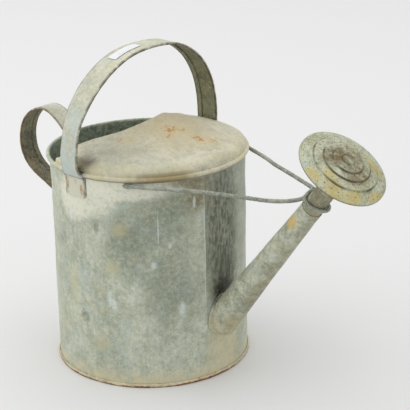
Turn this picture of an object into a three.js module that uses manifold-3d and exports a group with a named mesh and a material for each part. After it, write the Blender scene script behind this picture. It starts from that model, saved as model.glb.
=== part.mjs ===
import * as THREE from 'three';
import { mergeVertices } from 'three/addons/utils/BufferGeometryUtils.js';
import Module from 'manifold-3d';

const wasm = await Module();
wasm.setup();

// A galvanised sheet watering can. Millimetres, +Z up, the spout points along +X.
// Everything is laid out round the can's own axis. The whole is centred at the end.

// Sheet metal and the solder line between pieces that touch
const sheet = 0.8;
const strapSheet = 1.0;
const gap = 0.3;
const roundSides = 72;

// Can body
const canRadius = 110;
const rimHeight = 246;
const curlRadius = 2.3;
const curlEnd = -118;
const lapAngle = -11.4;
const lapWidth = 12;
const lapLayer = 0.7;
const slitAngle = -81.6;
const slitWidth = 1.2;
const slitDrop = 6;
const slitLength = 20;

// How far the cuts at the rim reach past it
const rimZone = 30;

// Base pan, folded round the foot of the wall
const panRecess = 6;
const panSheet = 1;
const seamThickness = 0.9;
const seamHeight = 4.6;
const panChamfer = 1.1;

// Cover over the front of the mouth
const coverSheet = 0.9;
const coverCorner = 109.2;
const coverEdgeX = 20;
const coverLift = 1.2;
const skirtDepth = 1.6;
const skirtSheet = 1.1;
const beadReach = 4.6;
const beadHeight = 4.7;
const beadRound = 1;
const shoulderHeight = 11.2;
const shoulderInset = 10;
const coverPeak = 40;
const coverSag = 2;
const crestPlace = [18, 7];
const crestLift = 2.2;
const crestSpread = 9;
const dentPlace = [6, -100];
const dentDepth = 5;
const dentSpread = 11;
const farSideDrop = 3.4;
const nearSideDrop = 1;
const nearCornerDrop = 4;
const farShoulderDrop = 3.2;
const farShoulderTurn = 68;
const farShoulderSpread = 17;

// Carrying handle over the mouth
const strapWidth = 29.5;
const hemDepth = 2.6;
const hemWidth = 6.5;
const legStandoff = 0.7;
const archX = -5.4;
const archSkew = 2.9;
const archRise = 124;
const footDrop = 7.5;
const tongueLength = 21;
const legClearance = 0.8;
const legNotch = 5.6;
const legBow = 10;

// Tipping handle behind the can
const rearWidth = 25.5;
const rearHemDepth = 2.3;
const rearHemWidth = 6;
const rearReach = 99.7;
const rearRise = 126.5;
const rearTopDrop = 22;
const rearFootDrop = 109.5;
const rearTabLength = 22;

// Spout
const spoutAngle = 51.75;
const spoutFoot = 64.9;
const spoutRootRadius = 18.2;
const spoutNeckRadius = 11.9;
const spoutTaperEnd = 198;
const spoutLength = 209.8;
const spoutBuried = 60;
const heelHeight = 49;
const flangeWidth = 2.4;
const flangeThickness = 1.3;
const spoutSides = 48;

// Rose on the end of the spout
const stemPlug = 12;
const stemLength = 50;
const roseAngle = 54.9;
const roseRadius = 48.5;
const roseDepth = 26;
const roseFaceRise = 13.8;
const roseSkirt = 1.3;
const roseSides = 40;
const collarLength = 6;
const pinholeRadius = 0.75;

// Stay wire between the can and the neck of the spout
const wireRadius = 2.25;
const wireAngle = 56.15;
const wireDrop = 7.8;
const coilPitch = 5.6;
const coilTilt = 4;
const coilBeyond = 8.8;

// Paper sticker on the carrying handle
const labelLength = 41;
const labelWidth = 11.5;
const labelThickness = 0.3;
const labelCentre = 0.44;
const labelAcross = -1.5;

const degrees = (angle) => THREE.MathUtils.degToRad(angle);
const innerRadius = canRadius - sheet;
const curlCentre = innerRadius + curlRadius;
const curlHeight = rimHeight - curlRadius;
const wallFoot = panSheet + 2 * gap;
const coverInner = canRadius + gap;
const coverRise = rimHeight + coverLift;
const coverBase = coverRise - beadHeight;
const archReach = canRadius + gap + strapSheet + legStandoff;
const strapFoot = rimHeight - footDrop;
const rearWall = canRadius + gap + strapSheet;
const rearFoot = rimHeight - rearFootDrop;
const coilMiddle = spoutLength + coilBeyond;
const stemRadius = spoutNeckRadius - sheet - gap;
const roseJoint = spoutLength - stemPlug + stemLength + 1;

// Solids: closed geometries for cutting and joining
function solid(geometry) {
  const bare = geometry.index ? geometry.toNonIndexed() : geometry.clone();
  bare.deleteAttribute('normal');
  bare.deleteAttribute('uv');
  const merged = mergeVertices(bare, 1e-4);
  const index = merged.index.array;
  const kept = [];
  for (let i = 0; i < index.length; i += 3) {
    const [a, b, c] = [index[i], index[i + 1], index[i + 2]];
    if (a !== b && b !== c && c !== a) kept.push(a, b, c);
  }
  return new wasm.Manifold(new wasm.Mesh({
    numProp: 3,
    vertProperties: new Float32Array(merged.attributes.position.array),
    triVerts: new Uint32Array(kept),
  }));
}

function piece(name, body, colour, roughness, metalness) {
  const data = body.getMesh();
  const geometry = new THREE.BufferGeometry();
  geometry.setAttribute('position', new THREE.BufferAttribute(data.vertProperties, 3));
  geometry.setIndex(new THREE.BufferAttribute(data.triVerts, 1));
  geometry.computeVertexNormals();
  const material = new THREE.MeshStandardMaterial({ color: colour, roughness, metalness });
  const mesh = new THREE.Mesh(geometry, material);
  mesh.name = name;
  return mesh;
}

// A turned shape about +Z from [radius, height] points
function turned(points, sides) {
  const outline = points.map(([radius, height]) => new THREE.Vector2(radius, height));
  const geometry = new THREE.LatheGeometry(outline, sides);
  geometry.rotateX(Math.PI / 2);
  return geometry;
}

function closedRing(points, sides) {
  return turned([...points, points[0]], sides);
}

// A block of the wall's curve between two angles, two radii and two heights
function sector(fromAngle, toAngle, inner, outer, bottom, top) {
  const shape = new THREE.Shape();
  shape.absarc(0, 0, outer, degrees(fromAngle), degrees(toAngle), false);
  shape.absarc(0, 0, inner, degrees(toAngle), degrees(fromAngle), true);
  const turns = Math.abs(toAngle - fromAngle) / 360;
  const curveSegments = Math.max(4, Math.ceil(roundSides * turns));
  const geometry = new THREE.ExtrudeGeometry(shape, { depth: top - bottom, bevelEnabled: false, curveSegments });
  geometry.translate(0, 0, bottom);
  return solid(geometry);
}

function block(low, high) {
  const size = new THREE.Vector3(...high).sub(new THREE.Vector3(...low));
  const geometry = new THREE.BoxGeometry(size.x, size.y, size.z);
  geometry.translate((low[0] + high[0]) / 2, (low[1] + high[1]) / 2, (low[2] + high[2]) / 2);
  return solid(geometry);
}

function drum(radius, bottom, top, sides = roundSides) {
  return solid(turned([[0, bottom], [radius, bottom], [radius, top], [0, top]], sides));
}

function arc(centre, height, radius, fromAngle, toAngle, steps) {
  return Array.from({ length: steps + 1 }, (_, i) => {
    const angle = degrees(fromAngle + (toAngle - fromAngle) * i / steps);
    return [centre + radius * Math.cos(angle), height + radius * Math.sin(angle)];
  });
}

// A path whose section keeps its own width direction, turned a little about +Z at each point by twists
class BandPath extends THREE.CatmullRomCurve3 {
  constructor(points, width, twists = points.map(() => 0)) {
    super(points, false, 'centripetal');
    this.width = width;
    this.twists = twists;
  }

  widthAt(along) {
    const place = this.getUtoTmapping(along) * (this.twists.length - 1);
    const before = Math.min(Math.floor(place), this.twists.length - 2);
    const twist = THREE.MathUtils.lerp(this.twists[before], this.twists[before + 1], place - before);
    const tangent = this.getTangentAt(along);
    const across = this.width.clone().applyAxisAngle(new THREE.Vector3(0, 0, 1), degrees(twist));
    return across.addScaledVector(tangent, -across.dot(tangent)).normalize();
  }

  computeFrenetFrames(segments) {
    const tangents = [];
    const normals = [];
    const binormals = [];
    for (let i = 0; i <= segments; i += 1) {
      const tangent = this.getTangentAt(i / segments);
      const across = this.widthAt(i / segments);
      tangents.push(tangent);
      normals.push(across);
      binormals.push(tangent.clone().cross(across).normalize());
    }
    return { tangents, normals, binormals };
  }
}

// Strap section: a flat face with both edges hemmed over towards the inside
function strapShape(width, hem, fold) {
  const half = width / 2;
  const shape = new THREE.Shape();
  shape.moveTo(-half, 0);
  shape.lineTo(half, 0);
  shape.lineTo(half, hem);
  shape.lineTo(half - fold, hem);
  shape.lineTo(half - fold, hem - strapSheet);
  shape.lineTo(half - strapSheet, hem - strapSheet);
  shape.lineTo(half - strapSheet, strapSheet);
  shape.lineTo(strapSheet - half, strapSheet);
  shape.lineTo(strapSheet - half, hem - strapSheet);
  shape.lineTo(fold - half, hem - strapSheet);
  shape.lineTo(fold - half, hem);
  shape.lineTo(-half, hem);
  shape.closePath();
  return shape;
}

// The can's outside with its rims, a little oversize, which handles are trimmed by
function canEnvelope() {
  return drum(canRadius + gap, -1, rimHeight + gap);
}

// Can body
function bodyWall() {
  const plain = closedRing([
    [innerRadius, wallFoot],
    [canRadius, wallFoot],
    [canRadius, curlHeight],
    [innerRadius, curlHeight],
  ], roundSides);
  return solid(plain);
}

function rearCurl() {
  const start = curlHeight - curlRadius;
  const outside = arc(curlCentre, curlHeight, curlRadius, 180, curlEnd, 11);
  const inside = arc(curlCentre, curlHeight, curlRadius - sheet, 180, curlEnd, 11).reverse();
  const outline = [[innerRadius, start], ...outside, ...inside, [canRadius, start]];
  const ring = solid(closedRing(outline.reverse(), roundSides));
  const inner = innerRadius - curlRadius;
  const outer = curlCentre + 2 * curlRadius;
  return ring.intersect(sector(coverCorner, 360 - coverCorner, inner, outer, rimHeight - rimZone, rimHeight + rimZone));
}

function lapSeam() {
  const span = THREE.MathUtils.radToDeg(lapWidth / canRadius);
  const bottom = seamHeight + gap;
  const top = coverBase - skirtDepth - gap;
  return sector(lapAngle - span, lapAngle, canRadius - sheet / 2, canRadius + lapLayer, bottom, top);
}

function handleSlit() {
  const half = THREE.MathUtils.radToDeg(slitWidth / canRadius) / 2;
  const top = rimHeight - slitDrop;
  return sector(slitAngle - half, slitAngle + half, innerRadius - sheet, canRadius + sheet, top - slitLength, top);
}

function bodyShell() {
  const holeInset = 3 * sheet;
  const waterway = spoutCone(-holeInset, spoutBuried).subtract(drum(innerRadius - 20, 0, rimHeight));
  const holeFoot = heelHeight + flangeWidth + holeInset;
  const hole = waterway.intersect(heelSlot(spoutRootRadius - holeInset, holeFoot));
  return bodyWall().add(rearCurl()).add(lapSeam()).subtract(handleSlit()).subtract(hole);
}

// Base pan: its edge turns down, under the wall and up round the outside as a thick seam
function basePan() {
  const seamInner = canRadius + gap;
  const seamOuter = seamInner + seamThickness + gap + gap;
  const legOuter = innerRadius - gap;
  const legInner = legOuter - panSheet;
  const floorTop = panRecess + panSheet;
  return solid(turned([
    [0, panRecess],
    [legInner - panChamfer, panRecess],
    [legInner, panRecess - panChamfer],
    [legInner, panChamfer],
    [legInner + panChamfer, 0],
    [seamOuter - panChamfer, 0],
    [seamOuter, panChamfer],
    [seamOuter, seamHeight - panChamfer],
    [seamOuter - panChamfer, seamHeight],
    [seamInner, seamHeight],
    [seamInner, panSheet + gap],
    [legOuter, panSheet + gap],
    [legOuter, floorTop],
    [0, floorTop],
  ], roundSides));
}

// Cover: a turned dome with a bead and skirt, cut back over the pouring mouth
function coverSkin(inset) {
  const domeStart = canRadius - shoulderInset;
  const domeEnd = coverEdgeX - 8;
  const slope = (coverPeak - shoulderHeight) / (domeStart - coverEdgeX);
  const shoulder = arc(0, 0, 1, 0, 90, 5).map(([across, up]) => [
    domeStart + across * (shoulderInset + 1 - inset),
    coverRise + up * (shoulderHeight - inset),
  ]);
  const dome = Array.from({ length: 8 }, (_, i) => {
    const along = (i + 1) / 8;
    const radius = domeStart + (domeEnd - domeStart) * along;
    const rise = (domeStart - radius) * slope - coverSag * Math.sin(Math.PI * along);
    return [radius, coverRise + shoulderHeight - inset + rise];
  });
  return [...shoulder, ...dome];
}

// How far wear and knocks have moved the cover's skin at one place
function coverShift(x, y) {
  const { smoothstep } = THREE.MathUtils;
  const radius = Math.hypot(x, y);
  const out = radius / canRadius;
  const turn = Math.abs(THREE.MathUtils.radToDeg(Math.atan2(y, x)));
  const crest = Math.hypot(x - crestPlace[0], y - crestPlace[1]) / crestSpread;
  const dent = Math.hypot(x - dentPlace[0], y - dentPlace[1]) / dentSpread;
  const far = (turn - farShoulderTurn) / farShoulderSpread;
  const sag = smoothstep(out, 0.41, 0.91) * smoothstep(turn, 50, 95);
  const farDrop = farSideDrop * sag + farShoulderDrop * smoothstep(out, 0.66, 0.9) * Math.exp(-far * far);
  const nearDrop = nearSideDrop * sag + nearCornerDrop * smoothstep(out, 0.78, 0.93) * smoothstep(turn, 97, 106);
  const inside = 1 - smoothstep(radius, canRadius - shoulderInset * 0.4, canRadius + coverLift);
  const knocks = crestLift * Math.exp(-crest * crest) - dentDepth * Math.exp(-dent * dent);
  return inside * (knocks - (y > 0 ? farDrop : nearDrop));
}

function coverRing() {
  const outer = canRadius + beadReach;
  const outside = [
    [coverInner + skirtSheet, coverBase - skirtDepth],
    [coverInner + skirtSheet, coverBase],
    [outer - beadRound, coverBase],
    [outer, coverBase + beadRound],
    [outer, coverRise - 2 * beadRound],
    [outer - beadRound, coverRise - beadRound],
    [canRadius + beadRound, coverRise],
    ...coverSkin(0).slice(1),
  ];
  const skirt = [[coverInner, coverBase - skirtDepth], [coverInner, coverRise - beadRound]];
  const inside = [...skirt, ...coverSkin(coverSheet)];
  const geometry = closedRing([...outside, ...inside.reverse()], roundSides);
  const points = geometry.attributes.position;
  for (let i = 0; i < points.count; i += 1) {
    points.setZ(i, points.getZ(i) + coverShift(points.getX(i), points.getY(i)));
  }
  return solid(geometry);
}

// The free edge in plan, from its middle, nearest the front, to a corner on the rim.
// Each row is [share of the way across, share of the way back].
const mouthEdge = [
  [0, 0],
  [0.15, 0.027],
  [0.3, 0.12],
  [0.42, 0.235],
  [0.5, 0.36],
  [0.58, 0.51],
  [0.66, 0.662],
  [0.74, 0.785],
  [0.82, 0.865],
  [0.91, 0.925],
  [1, 1],
];

function coverMouth() {
  const corner = new THREE.Vector2(canRadius, 0).rotateAround(new THREE.Vector2(), degrees(coverCorner));
  const far = mouthEdge.map(([across, back]) => {
    return new THREE.Vector2(THREE.MathUtils.lerp(coverEdgeX, corner.x, back), across * corner.y);
  });
  const near = far.slice(1).reverse().map((point) => new THREE.Vector2(point.x, -point.y));
  const edge = new THREE.SplineCurve([...near, ...far]).getPoints(40);
  const beyond = corner.clone().multiplyScalar(1 + rimZone / canRadius);
  const behind = -canRadius - rimZone;
  const outline = [
    new THREE.Vector2(behind, -beyond.y),
    new THREE.Vector2(beyond.x, -beyond.y),
    ...edge,
    beyond,
    new THREE.Vector2(behind, beyond.y),
  ];
  const depth = coverPeak + 2 * rimZone;
  const geometry = new THREE.ExtrudeGeometry(new THREE.Shape(outline), { depth, bevelEnabled: false });
  geometry.translate(0, 0, rimHeight - rimZone);
  return solid(geometry);
}

// Room for the handle's two legs. The near one bows out over the rim, so there only the bead gives way.
function legRoom() {
  const half = strapWidth / 2 + legClearance;
  const inner = archReach - legNotch;
  const outer = archReach + legBow;
  const bottom = rimHeight - rimZone;
  const near = block([archX - half, -outer, bottom], [archX + half, -inner, coverRise + legClearance]);
  const far = block([archX - half, inner, bottom], [archX + half, outer, rimHeight + rimZone]);
  return skewed(near.add(far));
}

function skewed(body) {
  return body.translate([-archX, 0, 0]).rotate([0, 0, archSkew]).translate([archX, 0, 0]);
}

function topCover() {
  const from = coverCorner - 0.3;
  const inner = canRadius - shoulderInset * 0.6;
  const outer = canRadius + 2 * beadReach;
  const rearRim = sector(from, 360 - from, inner, outer, rimHeight - rimZone, coverRise + shoulderHeight / 2);
  return coverRing().subtract(coverMouth()).subtract(rearRim).subtract(legRoom());
}

// Carrying handle: its worn arch, set by hand from the near foot, which bows out over the rim, to the far one.
// Each row is [share of the reach across, share of the rise, twist in degrees].
const archOutline = [
  [-1, 0, 0],
  [-1.036, 0.06, -6],
  [-1.057, 0.12, -10],
  [-1.0625, 0.185, -10],
  [-1.055, 0.252, -10.5],
  [-1.036, 0.351, -12],
  [-0.998, 0.464, -10],
  [-0.943, 0.556, -7],
  [-0.868, 0.643, -4],
  [-0.754, 0.75, -1],
  [-0.56, 0.872, 2],
  [-0.318, 0.965, 3],
  [-0.073, 0.999, 3],
  [0.181, 0.996, 0],
  [0.42, 0.962, -1],
  [0.652, 0.852, 0.5],
  [0.812, 0.716, 1.5],
  [0.929, 0.529, 1],
  [0.9875, 0.325, 0],
  [0.999, 0.14, 0],
  [1, 0, 0],
];

function archPath() {
  const points = archOutline.map(([across, up]) => {
    return new THREE.Vector3(archX, across * archReach, strapFoot + up * archRise);
  });
  return new BandPath(points, new THREE.Vector3(1, 0, 0), archOutline.map(([, , twist]) => twist));
}

function tongue(side) {
  const span = THREE.MathUtils.radToDeg(strapWidth / 2 / canRadius);
  const lean = THREE.MathUtils.radToDeg(Math.asin(-archX / canRadius));
  const middle = side * (90 + lean) + archSkew;
  const bottom = strapFoot - tongueLength;
  const top = rimHeight - legStandoff - gap;
  return sector(middle - span, middle + span, canRadius + gap, canRadius + gap + strapSheet, bottom, top);
}

function topHandle() {
  const options = { steps: 54, extrudePath: archPath() };
  const geometry = new THREE.ExtrudeGeometry(strapShape(strapWidth, hemDepth, hemWidth), options);
  const strap = skewed(solid(geometry)).subtract(canEnvelope());
  return strap.add(tongue(-1)).add(tongue(1));
}

// Tipping handle: a loop in the plane of the spout, set by hand between its two tabs.
// Each row is [share of the reach behind the wall, share of the rise over the lower tab].
const rearLoop = [
  [0.067, 0.772],
  [0.1675, 0.8435],
  [0.298, 0.929],
  [0.448, 0.987],
  [0.574, 1],
  [0.719, 0.965],
  [0.85, 0.893],
  [0.952, 0.787],
  [1, 0.66],
  [0.988, 0.514],
  [0.91, 0.402],
  [0.784, 0.325],
  [0.589, 0.255],
  [0.378, 0.178],
  [0.1775, 0.096],
  [0.057, 0.038],
];

function rearPath() {
  const at = (out, height) => new THREE.Vector3(-rearWall - out, 0, height);
  const top = rimHeight - rearTopDrop;
  const points = [
    at(0, top - rearTabLength),
    at(0, top),
    ...rearLoop.map(([out, up]) => at(out * rearReach, rearFoot + up * rearRise)),
    at(0, rearFoot),
    at(0, rearFoot - rearTabLength),
  ];
  return new BandPath(points, new THREE.Vector3(0, 1, 0));
}

function rearHandle() {
  const options = { steps: 56, extrudePath: rearPath() };
  const geometry = new THREE.ExtrudeGeometry(strapShape(rearWidth, rearHemDepth, rearHemWidth), options);
  return solid(geometry).subtract(canEnvelope());
}

// Spout: distances run along its axis from the place where it meets the wall
function alongSpout(geometry) {
  geometry.rotateY(Math.PI / 2 - degrees(spoutAngle));
  geometry.translate(canRadius, 0, spoutFoot);
  return geometry;
}

function spoutRadius(along) {
  const taper = (spoutRootRadius - spoutNeckRadius) / spoutTaperEnd;
  return Math.max(spoutNeckRadius, spoutRootRadius - taper * along);
}

function spoutCone(offset, buried, extra = 0) {
  const end = spoutLength + extra;
  return solid(alongSpout(turned([
    [0, -buried],
    [spoutRadius(-buried) + offset, -buried],
    [spoutNeckRadius + offset, spoutTaperEnd],
    [spoutNeckRadius + offset, end],
    [0, end],
  ], spoutSides)));
}

// An upright slot with a round foot, which the root of the spout is cut to
function heelSlot(halfWidth, foot) {
  const shape = new THREE.Shape();
  shape.absarc(0, foot + halfWidth, halfWidth, Math.PI, 2 * Math.PI, false);
  shape.lineTo(halfWidth, rimHeight);
  shape.lineTo(-halfWidth, rimHeight);
  shape.closePath();
  const options = { depth: 2 * canRadius, bevelEnabled: false, curveSegments: 24 };
  const geometry = new THREE.ExtrudeGeometry(shape, options);
  geometry.rotateX(Math.PI / 2);
  geometry.rotateZ(Math.PI / 2);
  return solid(geometry);
}

function spout() {
  const flangeZone = drum(canRadius + gap + flangeThickness, 0, rimHeight - 60);
  const flangeHalf = spoutRootRadius + flangeWidth;
  const flange = spoutCone(flangeWidth, spoutBuried).intersect(heelSlot(flangeHalf, heelHeight));
  const outside = spoutCone(0, spoutBuried).intersect(heelSlot(spoutRootRadius, heelHeight + flangeWidth));
  const boreFoot = heelHeight + flangeWidth + sheet;
  const bore = spoutCone(-sheet, spoutBuried, 5).intersect(heelSlot(spoutRootRadius - sheet, boreFoot));
  const root = flange.intersect(flangeZone);
  return outside.add(root).subtract(bore).subtract(drum(canRadius + gap, -20, rimHeight));
}

// Rose: the stem is straight with the spout, the head is tipped up a little more
function roseStem() {
  const start = spoutLength - stemPlug;
  return solid(alongSpout(closedRing([
    [stemRadius - sheet, start],
    [stemRadius, start],
    [stemRadius, start + stemLength],
    [stemRadius - sheet, start + stemLength],
  ], spoutSides)));
}

function stemRoom() {
  const start = spoutLength - stemPlug;
  return solid(alongSpout(turned([
    [0, start],
    [stemRadius + gap, start],
    [stemRadius + gap, start + stemLength + gap],
    [0, start + stemLength + gap],
  ], spoutSides)));
}

function atRose(geometry) {
  const tilt = degrees(spoutAngle);
  geometry.rotateY(Math.PI / 2 - degrees(roseAngle));
  geometry.translate(canRadius + roseJoint * Math.cos(tilt), 0, spoutFoot + roseJoint * Math.sin(tilt));
  return geometry;
}

// Heights here run forward from the joint, so the rim plane is at roseDepth
function roseBack() {
  const neck = stemRadius + gap + 0.5;
  const rim = roseRadius - sheet - gap;
  const thick = sheet;
  const points = [
    [neck, -collarLength],
    [neck + thick, -collarLength],
    [neck + thick, -0.5],
    [neck + 4, 3],
    [roseRadius * 0.55, roseDepth * 0.5],
    [roseRadius * 0.8, roseDepth * 0.79],
    [rim, roseDepth - roseSkirt],
    [rim, roseDepth - 0.4],
    [rim - thick, roseDepth - 0.4],
    [roseRadius * 0.8 - thick, roseDepth * 0.79 + thick],
    [roseRadius * 0.55 - thick, roseDepth * 0.5 + thick],
    [neck + 3.2, 4.2],
    [neck, 0.6],
  ];
  return solid(atRose(closedRing(points, roseSides))).subtract(stemRoom());
}

// Face: terraces that climb to a small boss, each with a step at its outer ring.
// Each row is [share of the rose's radius, share of the face's rise].
const terraces = [
  [1, 0],
  [0.986, 0.072],
  [0.907, 0.196],
  [0.825, 0.304],
  [0.732, 0.384],
  [0.72, 0.486],
  [0.639, 0.558],
  [0.538, 0.601],
  [0.526, 0.703],
  [0.433, 0.739],
  [0.353, 0.754],
  [0.34, 0.855],
  [0.247, 0.877],
  [0.148, 0.877],
  [0.128, 0.935],
  [0.062, 0.986],
  [0, 1],
];

function roseFaceSheet() {
  const outside = terraces.map(([out, up]) => [out * roseRadius, roseDepth + up * roseFaceRise]);
  const inside = outside.slice(2).map(([radius, height]) => [Math.max(0, radius - sheet * 0.6), height - sheet]);
  const skirt = roseRadius - sheet;
  return solid(atRose(turned([
    ...inside.reverse(),
    [skirt, roseDepth + 0.2],
    [skirt, roseDepth - roseSkirt],
    [roseRadius, roseDepth - roseSkirt],
    ...outside,
  ], roseSides)));
}

// Rings of pinholes: how many, and at what share of the rose's radius
function pinholes() {
  const rings = [[8, 0.206], [14, 0.388], [18, 0.586], [22, 0.775], [26, 0.878]];
  const tools = rings.flatMap(([count, out], ring) => Array.from({ length: count }, (_, i) => {
    const angle = 2 * Math.PI * (i + 0.5 * (ring % 2)) / count;
    const radius = out * roseRadius;
    const pin = new THREE.CylinderGeometry(pinholeRadius, pinholeRadius, 1.5 * roseFaceRise, 6);
    pin.rotateX(Math.PI / 2);
    pin.translate(radius * Math.cos(angle), radius * Math.sin(angle), roseDepth + roseFaceRise / 2);
    return solid(atRose(pin));
  }));
  return wasm.Manifold.union(tools);
}

function roseFace() {
  return roseFaceSheet().subtract(pinholes());
}

// Stay wire: near arm, one turn round the rose's stem, far arm
function coilPoint(turn) {
  const tilt = degrees(spoutAngle);
  const angle = degrees(turn);
  const along = coilMiddle - coilTilt * Math.cos(angle) + coilPitch * (turn - 180) / 360;
  const radius = stemRadius + gap + wireRadius;
  const up = radius * Math.cos(angle);
  return new THREE.Vector3(
    canRadius + along * Math.cos(tilt) - up * Math.sin(tilt),
    radius * Math.sin(angle),
    spoutFoot + along * Math.sin(tilt) + up * Math.cos(tilt),
  );
}

// Bends of the two arms from the wall to the coil, each [share of the way, step outwards, step up], the steps
// as shares of the arm's length
const nearBends = [
  [0.131, 0.0025, -0.0023],
  [0.269, 0.005, -0.0039],
  [0.407, 0.0061, -0.0079],
  [0.543, 0.0078, -0.016],
  [0.657, 0.0098, -0.0254],
  [0.769, 0.0119, -0.0342],
  [0.856, 0.0126, -0.032],
  [0.927, 0.0119, -0.0211],
];
const farBends = [
  [0.105, 0.0043, 0.0032],
  [0.215, 0.0064, 0.0099],
  [0.35, 0.0146, 0.0113],
  [0.45, 0.0193, 0.0073],
  [0.657, 0.0288, 0.0119],
  [0.844, 0.0386, 0.0152],
  [0.946, 0.0446, 0.0176],
  [0.968, 0.0459, 0.0165],
];

// One arm, from the wall out. side is -1 for the near arm and 1 for the far one.
function wireArm(side, end, bends) {
  const angle = degrees(side * wireAngle);
  const reach = canRadius + wireRadius;
  const start = new THREE.Vector3(reach * Math.cos(angle), reach * Math.sin(angle), rimHeight - wireDrop);
  const run = end.clone().sub(start).setZ(0);
  const outward = new THREE.Vector3(-side * run.y, side * run.x, 0);
  const points = bends.map(([share, out, up]) => {
    const height = (end.z - start.z) * THREE.MathUtils.smoothstep(share, 0, 1) + up * run.length();
    return start.clone().addScaledVector(run, share).addScaledVector(outward, out).setZ(start.z + height);
  });
  return [start, ...points];
}

function wireRoute() {
  const coil = Array.from({ length: 13 }, (_, i) => coilPoint(30 + 27 * i));
  const near = wireArm(-1, coil[0], nearBends);
  const far = wireArm(1, coil[coil.length - 1], farBends);
  return [...near, ...coil, ...far.reverse()];
}

function stayWire() {
  const section = new THREE.Shape();
  section.absarc(0, 0, wireRadius, 0, 2 * Math.PI, false);
  const path = new THREE.CatmullRomCurve3(wireRoute(), false, 'centripetal');
  const options = { steps: 110, curveSegments: 4, extrudePath: path };
  const wire = solid(new THREE.ExtrudeGeometry(section, options));
  return wire.subtract(drum(canRadius + gap, 0, rimHeight + rimZone));
}

// Sticker: a blank slip that follows the strap's outer face
function paperLabel() {
  const strap = archPath();
  const reach = labelLength / 2 / strap.getLength();
  const steps = 10;
  const places = Array.from({ length: steps + 1 }, (_, i) => labelCentre - reach + 2 * reach * i / steps);
  const points = places.map((along) => {
    const outward = strap.widthAt(along).cross(strap.getTangentAt(along)).normalize();
    return strap.getPointAt(along).addScaledVector(outward, gap + labelThickness);
  });
  const twists = places.map((along) => {
    const across = strap.widthAt(along);
    return THREE.MathUtils.radToDeg(Math.atan2(across.y, across.x));
  });
  const half = labelWidth / 2;
  const shape = new THREE.Shape();
  shape.moveTo(labelAcross - half, 0);
  shape.lineTo(labelAcross + half, 0);
  shape.lineTo(labelAcross + half, labelThickness);
  shape.lineTo(labelAcross - half, labelThickness);
  shape.closePath();
  const path = new BandPath(points, strap.width, twists);
  return skewed(solid(new THREE.ExtrudeGeometry(shape, { steps, extrudePath: path })));
}

const can = new THREE.Group();
can.add(
  piece('body_shell', bodyShell(), 0x9aa398, 0.62, 0.7),
  piece('base_pan', basePan(), 0xa09a86, 0.7, 0.6),
  piece('top_cover', topCover(), 0xb9b29a, 0.7, 0.5),
  piece('top_handle', topHandle(), 0xb0b7ae, 0.6, 0.6),
  piece('rear_handle', rearHandle(), 0x9c9880, 0.65, 0.6),
  piece('spout', spout(), 0x9ca293, 0.65, 0.6),
  piece('rose_stem', roseStem(), 0x9a9a86, 0.65, 0.6),
  piece('rose_back', roseBack(), 0x9aa08c, 0.65, 0.6),
  piece('rose_face', roseFace(), 0xa9b2a0, 0.7, 0.5),
  piece('stay_wire', stayWire(), 0x8f9288, 0.6, 0.7),
  piece('paper_label', paperLabel(), 0xeeeeec, 0.8, 0),
);

// The origin is put at the bottom centre of the whole
const extent = new THREE.Box3().setFromObject(can);
const middle = extent.getCenter(new THREE.Vector3());
const group = new THREE.Group();
can.position.set(-middle.x, -middle.y, 0);
group.add(can);

export default group;
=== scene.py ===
import math
import bmesh
import bpy
import numpy as np
from mathutils import Matrix, Vector


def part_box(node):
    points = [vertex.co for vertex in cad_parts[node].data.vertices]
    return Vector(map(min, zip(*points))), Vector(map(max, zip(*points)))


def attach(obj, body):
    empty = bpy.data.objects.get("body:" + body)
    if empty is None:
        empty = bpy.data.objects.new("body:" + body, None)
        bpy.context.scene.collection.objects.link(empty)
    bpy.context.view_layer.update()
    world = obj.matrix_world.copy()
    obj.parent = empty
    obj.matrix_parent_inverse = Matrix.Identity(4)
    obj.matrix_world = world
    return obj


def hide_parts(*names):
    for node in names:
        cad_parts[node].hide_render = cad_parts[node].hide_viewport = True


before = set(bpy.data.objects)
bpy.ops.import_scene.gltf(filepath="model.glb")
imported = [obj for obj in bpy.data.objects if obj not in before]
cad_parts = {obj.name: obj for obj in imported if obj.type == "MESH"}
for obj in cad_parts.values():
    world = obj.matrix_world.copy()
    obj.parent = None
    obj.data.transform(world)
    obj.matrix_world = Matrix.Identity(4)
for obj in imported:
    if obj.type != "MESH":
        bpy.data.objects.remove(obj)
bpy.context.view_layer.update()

# Sizes are millimetres round the can's own axis, and become metres in the row frame in makeMesh
panLow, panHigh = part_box("base_pan")
canAxis = np.array([(panLow.x + panHigh.x) / 2, (panLow.y + panHigh.y) / 2, 0.0])
mm = 0.001
print("frame loaded, can axis at", canAxis.round(5))

canSize = {
    "radius": 110.0, "sheet": 0.8, "gap": 0.3,
    "spoutAngle": 51.75, "spoutFoot": 64.9, "roseAngle": 54.9,
}


# Shape tools

def smooth(value, low, high):
    t = np.clip((np.asarray(value, float) - low) / (high - low), 0, 1)
    return t * t * (3 - 2 * t)


def ripple(points, size, seed, waves=14):   # gentle random swell, about 1 mm high at its usual peaks
    rng = np.random.RandomState(seed)
    total = np.zeros(points.shape[:-1])
    for _ in range(waves):
        way = rng.normal(size=3)
        way /= np.linalg.norm(way)
        step = size * rng.uniform(0.6, 1.7)
        total += np.sin(points @ way * (2 * math.pi / step) + rng.uniform(0, 2 * math.pi))
    return total / math.sqrt(waves / 2)


def arcPoints(centre, height, wide, tall, fromDegrees, toDegrees, count):
    turn = np.radians(np.linspace(fromDegrees, toDegrees, count))
    return np.stack([centre + wide * np.cos(turn), height + tall * np.sin(turn)], -1)


def evenSteps(points, count):               # a fourth column, such as a twist, is carried along
    run = np.r_[0, np.cumsum(np.linalg.norm(np.diff(points[:, :3], axis=0), axis=1))]
    places = np.linspace(0, run[-1], count)
    return np.stack([np.interp(places, run, points[:, k]) for k in range(points.shape[1])], -1)


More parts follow.
